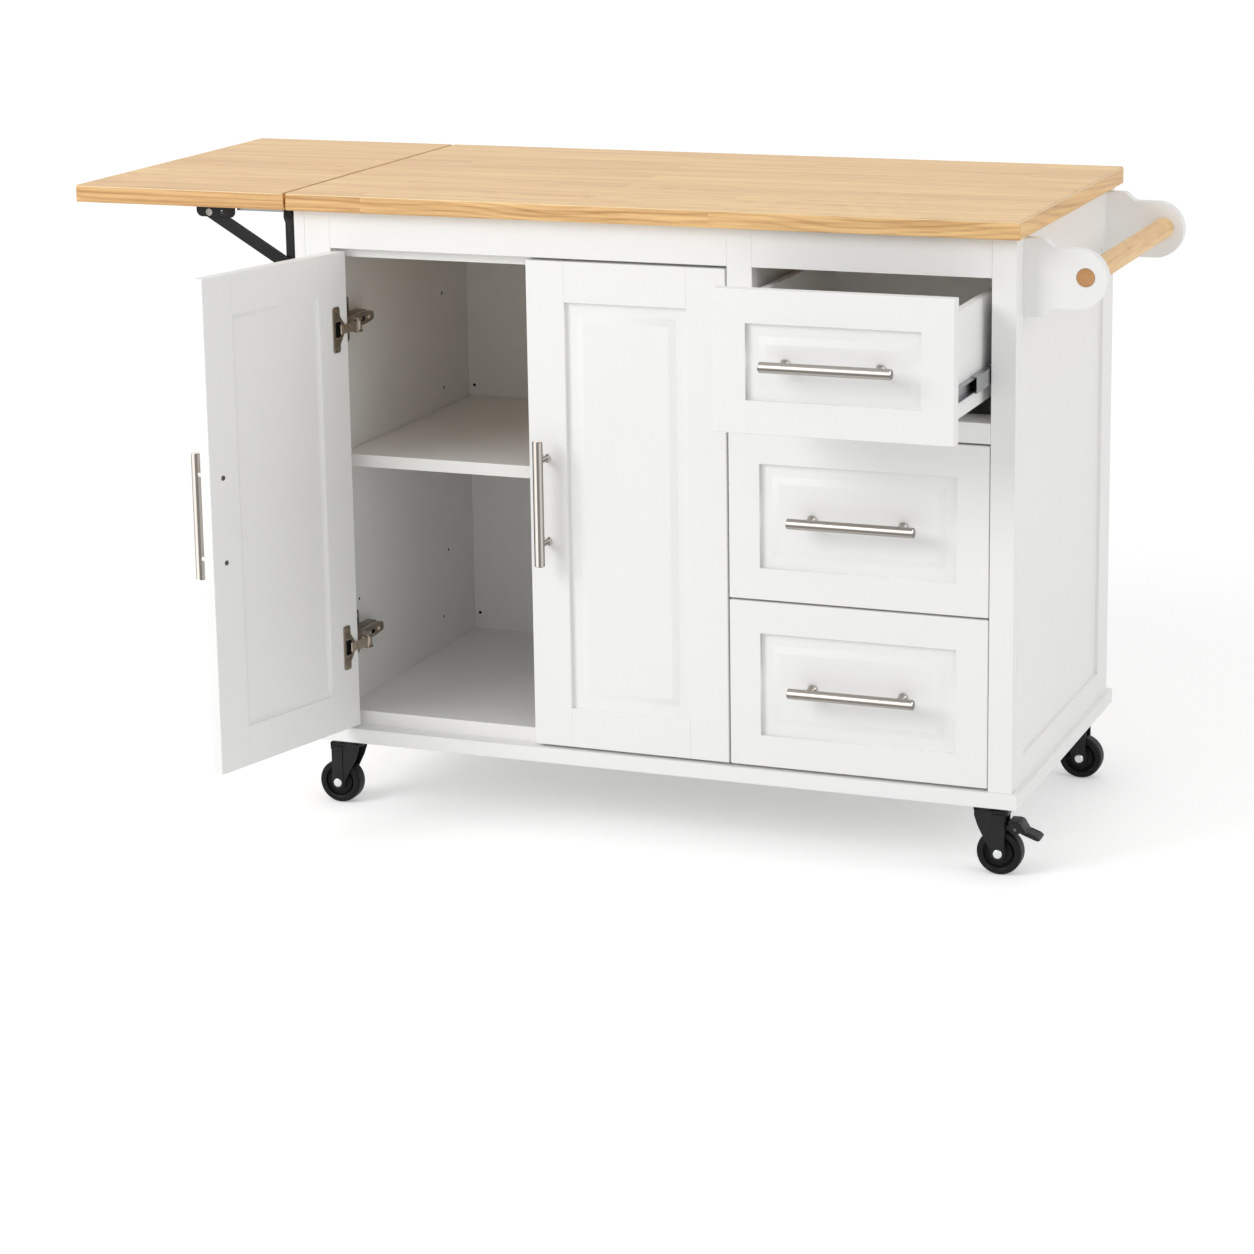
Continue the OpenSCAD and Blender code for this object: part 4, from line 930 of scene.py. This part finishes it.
def add_links(side, g):
    """Links of a door's hinges, each round its pin in the arm."""
    pivot = joint(f"{side}_link_pivot")
    base = move(pivot.x, pivot.y, 0) @ (rotate(-LEFT_DOOR_OPEN, "Z") if side == "left" else MIRROR)
    links = bmesh.new()
    for z in (g.hinge_high, g.hinge_low):
        add_board(links, (1, -1.7, z - 6.8), (37.5, 1.7, z + 6.8), 0.8, base)
        add_board(links, (8, -1.8, z - 4.2), (34, 1.8, z + 4.2), 0.5, base)
        add_turned(links, [(0, -6.9), (1.75, -6.9), (1.75, 6.9), (0, 6.9)], base @ move(0, 0, z), 20)
    # Links in the lighter copy of the hinge metal, a painted highlight.
    hand_over(f"{side}_hinge_links", links, "hinge_bright", f"{side}_hinge_links", [f"hinge_links_{side}"],
              boards=True)


ARM_OUTLINE = rounded([(45, -8.5), (64, -9.5), (112, -9), (134, -6.5), (134, 6.5), (112, 9), (64, 9.5),
                       (45, 8.5)], [1.5, 4, 6, 5, 5, 6, 4, 1.5])


def add_arm(arms, feet, dark, rims, base, pin):
    """Hinge arm on its mounting plate and foot, with cheeks that reach to the link's pin."""
    plane = base @ SIDE
    slots = [rectangle(79, z, 89, z + 2.2, 1) for z in (-28, -23.5)]
    add_plate(feet, [rectangle(73, -33, 95, 33, 5), *slots], 3.2, plane, 0.6)
    add_plate(rims, [rectangle(74.5, -30, 76.5, 30, 0.9)], 1.2, plane @ move(0, 0, 2.8), 0.4)
    add_plate(feet, [rounded([(62, -11), (130, -9), (130, 9), (62, 11)], 3)], 14.5, plane, 0.8)
    add_plate(arms, [ARM_OUTLINE], 10.5, plane @ move(0, 0, 14), 1.6, 3)
    top = plane @ move(0, 0, 24.5)
    for y, r in ((84, 4.6), (116, 3.6)):
        add_rivet(rims, top @ move(y, 0, -0.4), r, 1.4)
        add_hole(dark, top @ move(y, 0, 0), r * 0.5)
    # Painted shade: a near-black plate in the arm's slot, and near-black discs in its holes.
    add_plate(dark, [rectangle(92, -3, 103, 3, 2.9)], 0.5, top @ move(0, 0, -0.3), 0.1)
    add_screw(rims, plane @ move(85, 25, 3.2), 3.6, 1.6)
    add_hole(dark, plane @ move(85, 16.5, 3.2), 2)
    x, y = pin.x, pin.y
    cheek = rounded([(14, y + 30), (x + 3, y + 12), (x + 3, y - 1.5), (x - 3, y - 1.5), (14, y + 14)], 1.6)
    for z in (-9.6, 7.3):
        add_plate(arms, [cheek], 2.2, base @ move(0, 0, z), 0.5)
    add_turned(rims, [(0, -10.2), (1, -10.2), (1, 10.2), (0, 10.2)], base @ move(x, y, 0), 16)
    add_board(arms, (14, y + 2.6, -9.4), (x + 2.6, y + 8, 9.4), 0.9, base)


class ISLAND_OT_hinges(bpy.types.Operator):
    """Concealed hinges: cups in the doors, links, arms and mounting plates"""
    bl_idname = "island.hinges"
    bl_label = "Hinges"

    def execute(self, context):
        g = lengths(context.scene.island_fitting)
        for side in SIDES:
            add_cups(side, g)
            add_links(side, g)
        arms, feet, dark, rims = blanks(4)
        for side, wall, turn in (("left", 45, Matrix()), ("right", 670, MIRROR)):
            for level in (g.hinge_high, g.hinge_low):
                base = spot(wall, 0, level) @ turn
                add_arm(arms, feet, dark, rims, base, within(base, f"{side}_link_pivot"))
        # Feet in the darker copy of the hinge metal, painted shade; screws in the lighter copy, a painted
        # highlight; slots and holes near-black, painted shade.
        hand_over("hinge_arm_bodies", arms, "hinge_nickel", "carcass", ["hinge_arms"])
        hand_over("hinge_feet", feet, "hinge_dark", "carcass")
        hand_over("hinge_arm_screws", rims, "hinge_bright", "carcass")
        hand_over("hinge_arm_slots", dark, "shadow_black", "carcass")
        return {"FINISHED"}


# Depth of both leaf brackets, and place of their pivots
BRACKETS = {"front": 40, "rear": 540}
PIVOT_X, PIVOT_HIGH, PIVOT_LOW = -15, 878, 804
WALL_PLATE = rounded([(0.4, 778), (0.4, 887), (-15, 887), (-24, 882), (-24, 873), (-21.5, 866), (-21.5, 815),
                      (-23, 808), (-23, 801), (-21.5, 793), (-19, 789)], [1, 2, 4, 4, 3, 3, 3, 3, 3, 3, 2])
WALL_RIB = rounded([(-10.5, 866), (-7, 856), (-7, 824), (-10.5, 815), (-14, 824), (-14, 856)], 1)
LEAF_PLATE = rounded([(-161, 889.8), (-161, 871), (-103, 871), (-99, 876), (-99, 889.8)], [1, 9, 4, 4, 3])


def add_wall_bracket(walls, screws, depth):
    """Flange on the cabinet and a face with both pivots, a pointed rib down its middle."""
    face = spot(0, depth + 2.5, 0) @ FRONT
    add_plate(walls, [WALL_PLATE], 2.5, face, 0.5)
    add_plate(walls, [WALL_RIB], 1.4, face @ move(0, 0, 2.2), 0.6)
    flange = [(depth, 779), (depth + 20, 786), (depth + 20, 886), (depth, 887)]
    add_plate(walls, [rounded(flange, [1, 5, 5, 1])], 2.5, spot(0.4, 0, 0) @ SIDE, 0.5)
    for z in (800, 853):
        add_screw(screws, spot(0.4, depth + 12, z) @ SIDE @ rotate(180, "Y"), 3.8, 1.4)
    pivot = spot(PIVOT_X, depth, PIVOT_HIGH) @ FRONT
    add_rivet(walls, pivot, 6.2, 1.8)
    add_turned(walls, [(2.4, -9), (2.4, 0)], pivot, 16)
    add_screw(screws, spot(-5, depth, 786.5) @ FRONT, 2.2, 0.35)


def add_leaf_bracket(leaves, rails, rivets, holes, depth):
    """Side plate in front of the strut, flange under the leaf, and an ear at the pivot."""
    near = spot(0, depth - 3.4, 0) @ FRONT
    add_plate(leaves, [LEAF_PLATE, disc(-120, 878, 3, 20)], 2.5, near, 0.5)
    # Painted shade: the lock hole's lining in the darker copy of the zinc.
    add_turned(holes, [(2.2, 0.4), (2.2, 2.9), (1, 2.9), (1, 1)], near @ move(-120, 878, 0), 20)
    add_board(leaves, (-250, depth - 5.4, 887.6), (-6, depth + 27, 889.9), 0.4, ORIGIN)
    ear = [(-25, 889.8), (-25, 878), *arc(-15, 878, 9, 180, 360, 12), (-6, 889.8)]
    add_plate(leaves, [ear], 2.4, spot(0, depth + 5.5, 0) @ FRONT, 0.5)
    add_board(rails, (-100, depth + 3, 880.5), (-26, depth + 5.4, 889), 0.5, ORIGIN)
    for x in (-230, -140, -50):
        add_screw(rivets, spot(x, depth + 18, 887.6) @ OVER, 3.8, 1.4)
    add_rivet(rivets, spot(PIVOT_X - 125, depth - 5.9, PIVOT_HIGH) @ FRONT, 5.4, 1.8)


def add_strut(name, depth):
    """Strut from its lower pivot up to the leaf, with the washer and rivet of that pivot."""
    bars, washers, rivets = blanks(3)
    pivot = spot(PIVOT_X, depth - 0.5, PIVOT_LOW) @ FRONT
    bar = [(154.8, -9.5), (154.8, 3), (148.3, 9.5), (0, 9.5), *arc(0, 0, 9.5, 105, 255, 10), (0, -9.5)]
    add_plate(bars, [bar], 2.4, pivot @ rotate(180 - 30.6, "Z"), 0.7, 2)
    head = pivot @ move(0, 0, 2.4)
    add_turned(washers, [(8.7, 0), (8.7, 0.7), (8.1, 1.2), (7, 1.3), (0, 1.3)], head, 32)
    add_rivet(rivets, head @ move(0, 0, 1.2), 6, 1.7)
    hand_over(f"{name}_strut_bar", bars, "black_steel", f"{name}_strut", [f"strut_{name}"])
    hand_over(f"{name}_strut_washer", washers, "black_steel", f"{name}_strut")
    hand_over(f"{name}_strut_rivet", rivets, "zinc", f"{name}_strut")


class ISLAND_OT_leaf_brackets(bpy.types.Operator):
    """Folding brackets of the leaf: wall plates, side plates, struts and rivets"""
    bl_idname = "island.leaf_brackets"
    bl_label = "Leaf brackets"

    def execute(self, context):
        walls, leaves, rails, screws, rivets, holes = blanks(6)
        for name, depth in BRACKETS.items():
            add_wall_bracket(walls, screws, depth)
            add_leaf_bracket(leaves, rails, rivets, holes, depth)
            add_strut(name, depth)
        hand_over("leaf_wall_brackets", walls, "black_steel", "carcass", ["leaf_wall_plates"])
        # Wall screws in the darker copy of the zinc, painted shade.
        hand_over("leaf_wall_screws", screws, "dark_zinc", "carcass")
        hand_over("leaf_side_plates", leaves, "black_steel", "drop_leaf", ["leaf_brackets"])
        hand_over("leaf_lip_rails", rails, "slide_steel", "drop_leaf", boards=True)
        hand_over("leaf_rivets", rivets, "zinc", "drop_leaf")
        # Lock holes in the darker copy of the zinc, painted shade.
        hand_over("leaf_lock_holes", holes, "dark_zinc", "drop_leaf")
        return {"FINISHED"}


class ISLAND_OT_towel_rail(bpy.types.Operator):
    """Towel rail: brackets, rod and the rod's ends"""
    bl_idname = "island.towel_rail"
    bl_label = "Towel rail"

    def execute(self, context):
        dress("white_paint", 1.6, "towel_brackets")
        g = lengths(context.scene.island_fitting)
        low, high = box("towel_rod")
        x, z, r = (low.x + high.x) / 2, (low.z + high.z) / 2, (high.x - low.x) / 2
        rod, ends, rims = blanks(3)
        near = [(0, 1), (r - 0.3, 1), (r - 0.3, g.bracket), (g.rod / 2 - 1, g.bracket),
                (g.rod / 2, g.bracket + 1)]
        far = [(radius, high.y - low.y - y) for radius, y in near[::-1]]
        add_turned(rod, near + far, move(x, low.y, z) @ BACK, 48)
        hand_over("towel_rod_timber", rod, "rod_wood", "carcass", ["towel_rod"])
        for place in (move(x, low.y, z) @ FRONT, move(x, high.y, z) @ BACK):
            add_turned(ends, [(r - 0.2, -2), (r - 0.2, 0), (r - 0.9, 0.5), (0, 0.6)], place, 40)
            add_turned(rims, [(r + 1.4, -0.3), (r + 1.2, 0.3), (r + 0.4, 0.35), (r, -0.4)], place, 40)
        hand_over("towel_rod_ends", ends, "rod_end_wood", "carcass")
        hand_over("towel_rod_rims", rims, "white_paint", "carcass")
        return {"FINISHED"}


# Turned profiles of the casters, over the floor or over their own foot
CUP = [(5.2, 99.4), (16.6, 99.4), (17.4, 100.8), (19.4, 100.9), (20.3, 100), (20.3, 96.6), (19.4, 94.8),
       (17.6, 93.2), (16.6, 91), (16.2, 87), (14.6, 86.6), (14.6, 90.7), (5.2, 90.7), (5.2, 99.4)]
UPPER_CUP = [(22, 103.2), (21.4, 102.4), (18.6, 101.9), (16.4, 101.2), (15.6, 99.8), (6, 99.6)]
AXLE_HEAD = [(6.7, -0.6), (6.7, 0.9), (6.2, 2), (5.2, 2.8), (4.4, 2.9), (4.1, 2.6), (0, 2.7)]
AXLE_NUT = [(6.9, -0.6), (6.9, 2.4), (6.2, 3.1), (4.2, 3.2), (4.2, 2.4), (0, 2.4)]
SMALL_BALL = [(0, -1.4), (1.1, -1), (1.5, 0), (1.1, 1), (0, 1.4)]
CROWN = 90.7
BOLTS = [(x, y) for x in (-24, 24) for y in (-24, 24)]


def add_top_plate(plates, kingpins, place):
    """Top plate with slots and bolts, upper cup, kingpin with its nut, and the balls between the cups."""
    slots = [rectangle(x - 5, y - 3.2, x + 5, y + 3.2, 3.1) for x, y in BOLTS]
    add_plate(plates, [rectangle(-31, -31, 31, 31, 6), *slots], 2.8, place @ move(0, 0, 103.1), 0.7, 2)
    add_turned(plates, UPPER_CUP, place, 48)
    for x, y in BOLTS:
        add_turned(plates, [(4.6, 0), (4.6, 2), (4, 2.6), (0, 2.7)], place @ move(x, y, 103.2) @ OVER, 6)
    add_turned(kingpins, [(0, 86), (4.4, 86), (4.9, 86.6), (4.9, 102)], place, 24)
    add_turned(kingpins, [(7.8, 90.3), (7.8, 87.2), (6.8, 86.2), (0, 86.2)], place, 6)
    for x, y in arc(0, 0, 17.3, 11.25, 348.75, 15):
        add_turned(kingpins, SMALL_BALL, place @ move(x, y, 101.1), 10)


def add_fork(bm, place):
    """Fork: bearing cup, crown, two legs with a raised strip, bent over at the crown."""
    add_turned(bm, CUP, place, 48)
    crown = rounded([(-17, -15.6), (29, -15.6), (29, 15.6), (-17, 15.6)], [8, 2, 2, 8])
    add_plate(bm, [crown, disc(0, 0, 5.2, 24)], 3, place @ move(0, 0, CROWN), 0.8, 2)
    leg = [(29.4, 93), (-14.5, 93.4), (-14.2, 84), (-9.5, 70), (0.5, 50), (9.6, 34),
           *arc(20, 32, 10, 190, 350, 14), (29.4, 40)]
    strip = [(29.2, 88), (11.4, 88), (11.4, 34), *arc(20.3, 32, 8.9, 185, 355, 12), (29.2, 34)]
    for side, y in ((-1, -13), (1, 16)):
        plane = place @ move(0, y, 0) @ FRONT
        add_plate(bm, [leg, disc(20, 32, 4.8, 24)], 3, plane, 0.9, 3)
        add_plate(bm, [strip], 3, plane @ move(0, 0, -1.3 * side), 0.7, 2)
        near, far = sorted((side * 13.2, side * 17.2))
        add_board(bm, (11.6, near, 86.6), (29, far, 88.6), 0.8, place)
    add_board(bm, (28.4, -16.6, 83), (30.4, 16.6, 93.5), 0.8, place)


def add_pedal_arm(bm, place):
    """Arm under the crown that holds the brake pedal's pin."""
    pin = within(place, "brake_pedal_pivot")
    x, z = pin.x, pin.z
    arm = [(22, CROWN), (22, z - 2.5), (x, z - 4.4), (x + 4.4, z), (x, z + 4), (25, z + 3.5), (25, CROWN)]
    add_plate(bm, [rounded(arm, [0, 1, 4, 4, 3, 1, 0])], 23, place @ move(0, 11.5, 0) @ FRONT, 0.8)


def add_wheel(bm, hub, g):
    """Wheel: tread with rounded shoulders, groove, dished disc with a ring, and hub."""
    r, h = g.wheel / 2, g.wheel_width / 2
    side = [(5.1, h - 0.6), (9.6, h - 0.6), (10.8, h - 1.4), (11, h - 3), (12.4, h - 4.4), (16.6, h - 4.2),
            (17.4, h - 3.2), (18.4, h - 3.2), (19.2, h - 4.6), (20.4, h - 5.6), (21.4, h - 5.4),
            (22, h - 1.6), (23, h - 0.5), (24.4, h - 0.1), (27.6, h), (29.6, h - 0.3), (31, h - 1.3),
            (31.8, h - 3), (r, h - 5)]
    profile = [(a, -b) for a, b in side] + [(r, -0.35), (r - 0.25, 0), (r, 0.35)] + side[::-1]
    add_turned(bm, profile + profile[:1], hub, 64)


class ISLAND_OT_casters(bpy.types.Operator):
    """Four swivel casters: plates, bearings, forks, bolts and wheels"""
    bl_idname = "island.casters"
    bl_label = "Casters"

    def execute(self, context):
        g = lengths(context.scene.island_caster)
        plates, kingpins = blanks(2)
        for name in ("front_left", "front_right", "rear_left", "rear_right"):
            place = caster_place(*name.split("_"))
            add_top_plate(plates, kingpins, place)
            forks, bolts, wheels = blanks(3)
            add_fork(forks, place)
            if name == "front_right":
                add_pedal_arm(forks, place)
            hub = place @ move(g.trail, 0, g.wheel / 2) @ FRONT
            add_turned(bolts, AXLE_HEAD, place @ move(g.trail, -16.8, g.wheel / 2) @ FRONT, 36)
            add_turned(bolts, AXLE_NUT, place @ move(g.trail, 16.8, g.wheel / 2) @ BACK, 6)
            add_turned(bolts, [(4.9, -16), (4.9, 16)], hub, 24)
            add_wheel(wheels, hub, g)
            hand_over(f"{name}_caster_fork", forks, "black_steel", f"{name}_fork", [f"fork_{name}"])
            hand_over(f"{name}_axle_bolt", bolts, "bright_zinc", f"{name}_fork")
            hand_over(f"{name}_caster_wheel", wheels, "wheel_black", f"{name}_wheel", [f"wheel_{name}"])
        hand_over("caster_top_plates", plates, "bright_zinc", "carcass", ["caster_plates"])
        hand_over("caster_kingpins", kingpins, "kingpin_zinc", "carcass")
        return {"FINISHED"}


class ISLAND_OT_brake(bpy.types.Operator):
    """Brake pedal: cheeks, rounded cover and ribbed tread"""
    bl_idname = "island.brake"
    bl_label = "Brake pedal"

    def execute(self, context):
        place = caster_place("front", "right")
        pin = within(place, "brake_pedal_pivot")
        base = place @ move(pin.x, 0, pin.z)
        shell, dark = blanks(2)
        half = 14.5
        cover = [(-9.5, 10.5), (1.5, 10.7), *arc(1.5, 1.7, 9, 75, 15, 4), (13, 0.2), (14.4, -3)]
        inner = [(x - 2.2 * (0.3 + i / 12), z - 2.3 + i * 0.12) for i, (x, z) in enumerate(cover)][::-1]
        cheek = arc(0, 0, 7.6, 215, 320, 10) + [(13.5, -5.5)] + cover[::-1] + [(-9.5, 7)]
        add_plate(shell, [cover + inner], 2 * half, base @ move(0, half, 0) @ FRONT, 1, 3)
        for y in (half, 2.5 - half):
            add_plate(shell, [cheek, disc(0, 0, 2.6, 20)], 2.5, base @ move(0, y, 0) @ FRONT, 0.6, 2)
        tilt = base @ rotate(20, "Y") @ move(0, 0, -2.5)
        add_plate(shell, [rectangle(9, -14.8, 36.5, 14.8, [1.5, 6, 6, 1.5], 8)], 5, tilt, 1.5, 4)
        top = tilt @ move(0, 0, 4.8)
        for x in (17.5, 21.5, 25.5, 29.5):
            add_plate(shell, [rectangle(x, -9.5, x + 1.2, 9.5, 0.55)], 1, top, 0.4, 2)
        for y in (-12, 12):
            add_plate(shell, [rectangle(16.5, y - 0.6, 31, y + 0.6, 0.55)], 0.9, top, 0.35, 2)
        add_plate(shell, [rectangle(12, -14.2, 13.6, 14.2, 0.7)], 1.8, top, 0.6, 2)
        for y, turn in ((-half, FRONT), (half, BACK)):
            add_turned(dark, [(2.4, -1), (2.4, 0.5), (1.9, 0.8), (1.2, 0.5), (0, 0.4)],
                       base @ move(0, y, 0) @ turn, 20)
        hand_over("brake_lever", shell, "pedal_black", "brake_pedal", ["brake_pedal"])
        # Pin ends in the darker copy of the zinc, painted shade.
        hand_over("brake_pin_ends", dark, "dark_zinc", "front_right_fork")
        return {"FINISHED"}


# Stage: half the floor's width, the lamps' aim and the camera's place in metres, millimetres and degrees
FLOOR_HALF = 40.0
LAMPS_AIM = Vector((0.1, 0, 0.45))
CAMERA_PLACE = (2185, -4235, 1550)
CAMERA_TURN = (21.53, 12.53, -0.88)


def seen(w):
    """1 for rays from the camera, in reflections and through glass, else 0."""
    path = w.put("LightPath").outputs
    return w.math("MAXIMUM", path["Is Camera Ray"],
                  w.math("MAXIMUM", path["Is Glossy Ray"], path["Is Transmission Ray"]))


def hang_world(scene, sky):
    """White background that lights the scene by the sky's strength."""
    world = bpy.data.worlds.new("Studio")
    scene.world = world
    world.use_nodes = True
    w = Wires(world.node_tree)
    back = world.node_tree.nodes["Background"]
    w.join(w.spread(seen(w), 0.0, 1.0, sky, 1.0), back.inputs["Strength"])
    back.inputs["Color"].default_value = (1, 1, 1, 1)


def lay_floor(scene, s):
    """White floor that shows a soft shadow near the island."""
    a = FLOOR_HALF
    mesh = bpy.data.meshes.new("floor")
    mesh.from_pydata([(-a, -a, 0), (a, -a, 0), (a, a, 0), (-a, a, 0)], [], [(0, 1, 2, 3)])
    floor = bpy.data.objects.new("floor", mesh)
    scene.collection.objects.link(floor)
    w, shader, place = blank("floor", {"Roughness": 0.8, "Specular IOR Level": 0.1,
                                       "Emission Color": (1, 1, 1, 1)})
    shown = seen(w)
    distance = w.put("VectorMath", {0: place}, operation="LENGTH").outputs["Value"]
    away = w.spread(distance, 1.3, 2.4)
    glow = w.times(shown, w.spread(away, 0.0, 1.0, 1.06 - s.shadow * 0.85, 1.0))
    w.join(w.mix(shown, list(s.floor), w.mix(away, [s.shadow] * 3, (0, 0, 0))), shader.inputs["Base Color"])
    w.join(glow, shader.inputs["Emission Strength"])
    mesh.materials.append(bpy.data.materials["floor"])


def set_camera(scene):
    """Camera at the photograph's place, turned by its yaw, pitch and roll."""
    lens = bpy.data.cameras.new("camera")
    lens.lens = 96.7
    lens.sensor_width = 36
    lens.shift_y = -0.12
    camera = bpy.data.objects.new("camera", lens)
    yaw, pitch, roll = (math.radians(a) for a in CAMERA_TURN)
    ahead = Vector((-math.sin(yaw) * math.cos(pitch), math.cos(yaw) * math.cos(pitch), -math.sin(pitch)))
    right = Vector((math.cos(yaw), math.sin(yaw), 0))
    up = right.cross(ahead)
    right, up = (right * math.cos(roll) + up * math.sin(roll), up * math.cos(roll) - right * math.sin(roll))
    camera.matrix_world = Matrix.LocRotScale(at(*CAMERA_PLACE), Matrix((right, up, -ahead)).transposed(), None)
    scene.collection.objects.link(camera)
    scene.camera = camera


class ISLAND_OT_stage(bpy.types.Operator):
    """Floor, lamps, background and camera"""
    bl_idname = "island.stage"
    bl_label = "Stage"

    def execute(self, context):
        scene, s = context.scene, context.scene.island_stage
        scene.view_settings.view_transform = "Standard"
        hang_world(scene, s.sky)
        lay_floor(scene, s)
        for name, watts, wide, place in (("key", s.key, 2.4, (-2.7, -3.5, 2.9)),
                                         ("fill", s.fill, 2.0, (4.2, -0.4, 2.4))):
            lamp = bpy.data.lights.new(name, "AREA")
            lamp.energy = watts
            lamp.size = wide
            holder = bpy.data.objects.new(name, lamp)
            holder.location = place
            holder.rotation_euler = (LAMPS_AIM - Vector(place)).to_track_quat("-Z", "Y").to_euler()
            scene.collection.objects.link(holder)
        set_camera(scene)
        return {"FINISHED"}


class ISLAND_PT_panel(bpy.types.Panel):
    """Sizes, colours and pieces of the island"""
    bl_idname = "ISLAND_PT_panel"
    bl_label = "Kitchen island"
    bl_space_type = "VIEW_3D"
    bl_region_type = "UI"
    bl_category = "Island"

    def draw(self, context):
        for holder in SETTINGS:
            block = getattr(context.scene, holder)
            sheet = self.layout.box()
            sheet.label(text=block.bl_rna.description)
            for name in settings_of(block):
                sheet.prop(block, name)
        for kind in PIECES:
            self.layout.operator(kind.bl_idname)


SETTINGS = {"island_stage": StageSettings, "island_finish": FinishSettings, "island_front": FrontSettings,
            "island_fitting": FittingSettings, "island_caster": CasterSettings}
PIECES = [ISLAND_OT_finishes, ISLAND_OT_carcass, ISLAND_OT_doors, ISLAND_OT_drawer_fronts,
          ISLAND_OT_drawer_boxes, ISLAND_OT_handles, ISLAND_OT_hinges, ISLAND_OT_leaf_brackets,
          ISLAND_OT_towel_rail, ISLAND_OT_casters, ISLAND_OT_brake, ISLAND_OT_stage]


def register():
    for holder, kind in SETTINGS.items():
        bpy.utils.register_class(kind)
        setattr(bpy.types.Scene, holder, PointerProperty(type=kind))
    for kind in [*PIECES, ISLAND_PT_panel]:
        bpy.utils.register_class(kind)


def unregister():
    for kind in [ISLAND_PT_panel, *reversed(PIECES)]:
        bpy.utils.unregister_class(kind)
    for holder, kind in reversed(SETTINGS.items()):
        delattr(bpy.types.Scene, holder)
        bpy.utils.unregister_class(kind)


def main():
    register()
    for kind in PIECES:
        group, call = kind.bl_idname.split(".")
        getattr(getattr(bpy.ops, group), call)()


if __name__ == "__main__":
    main()
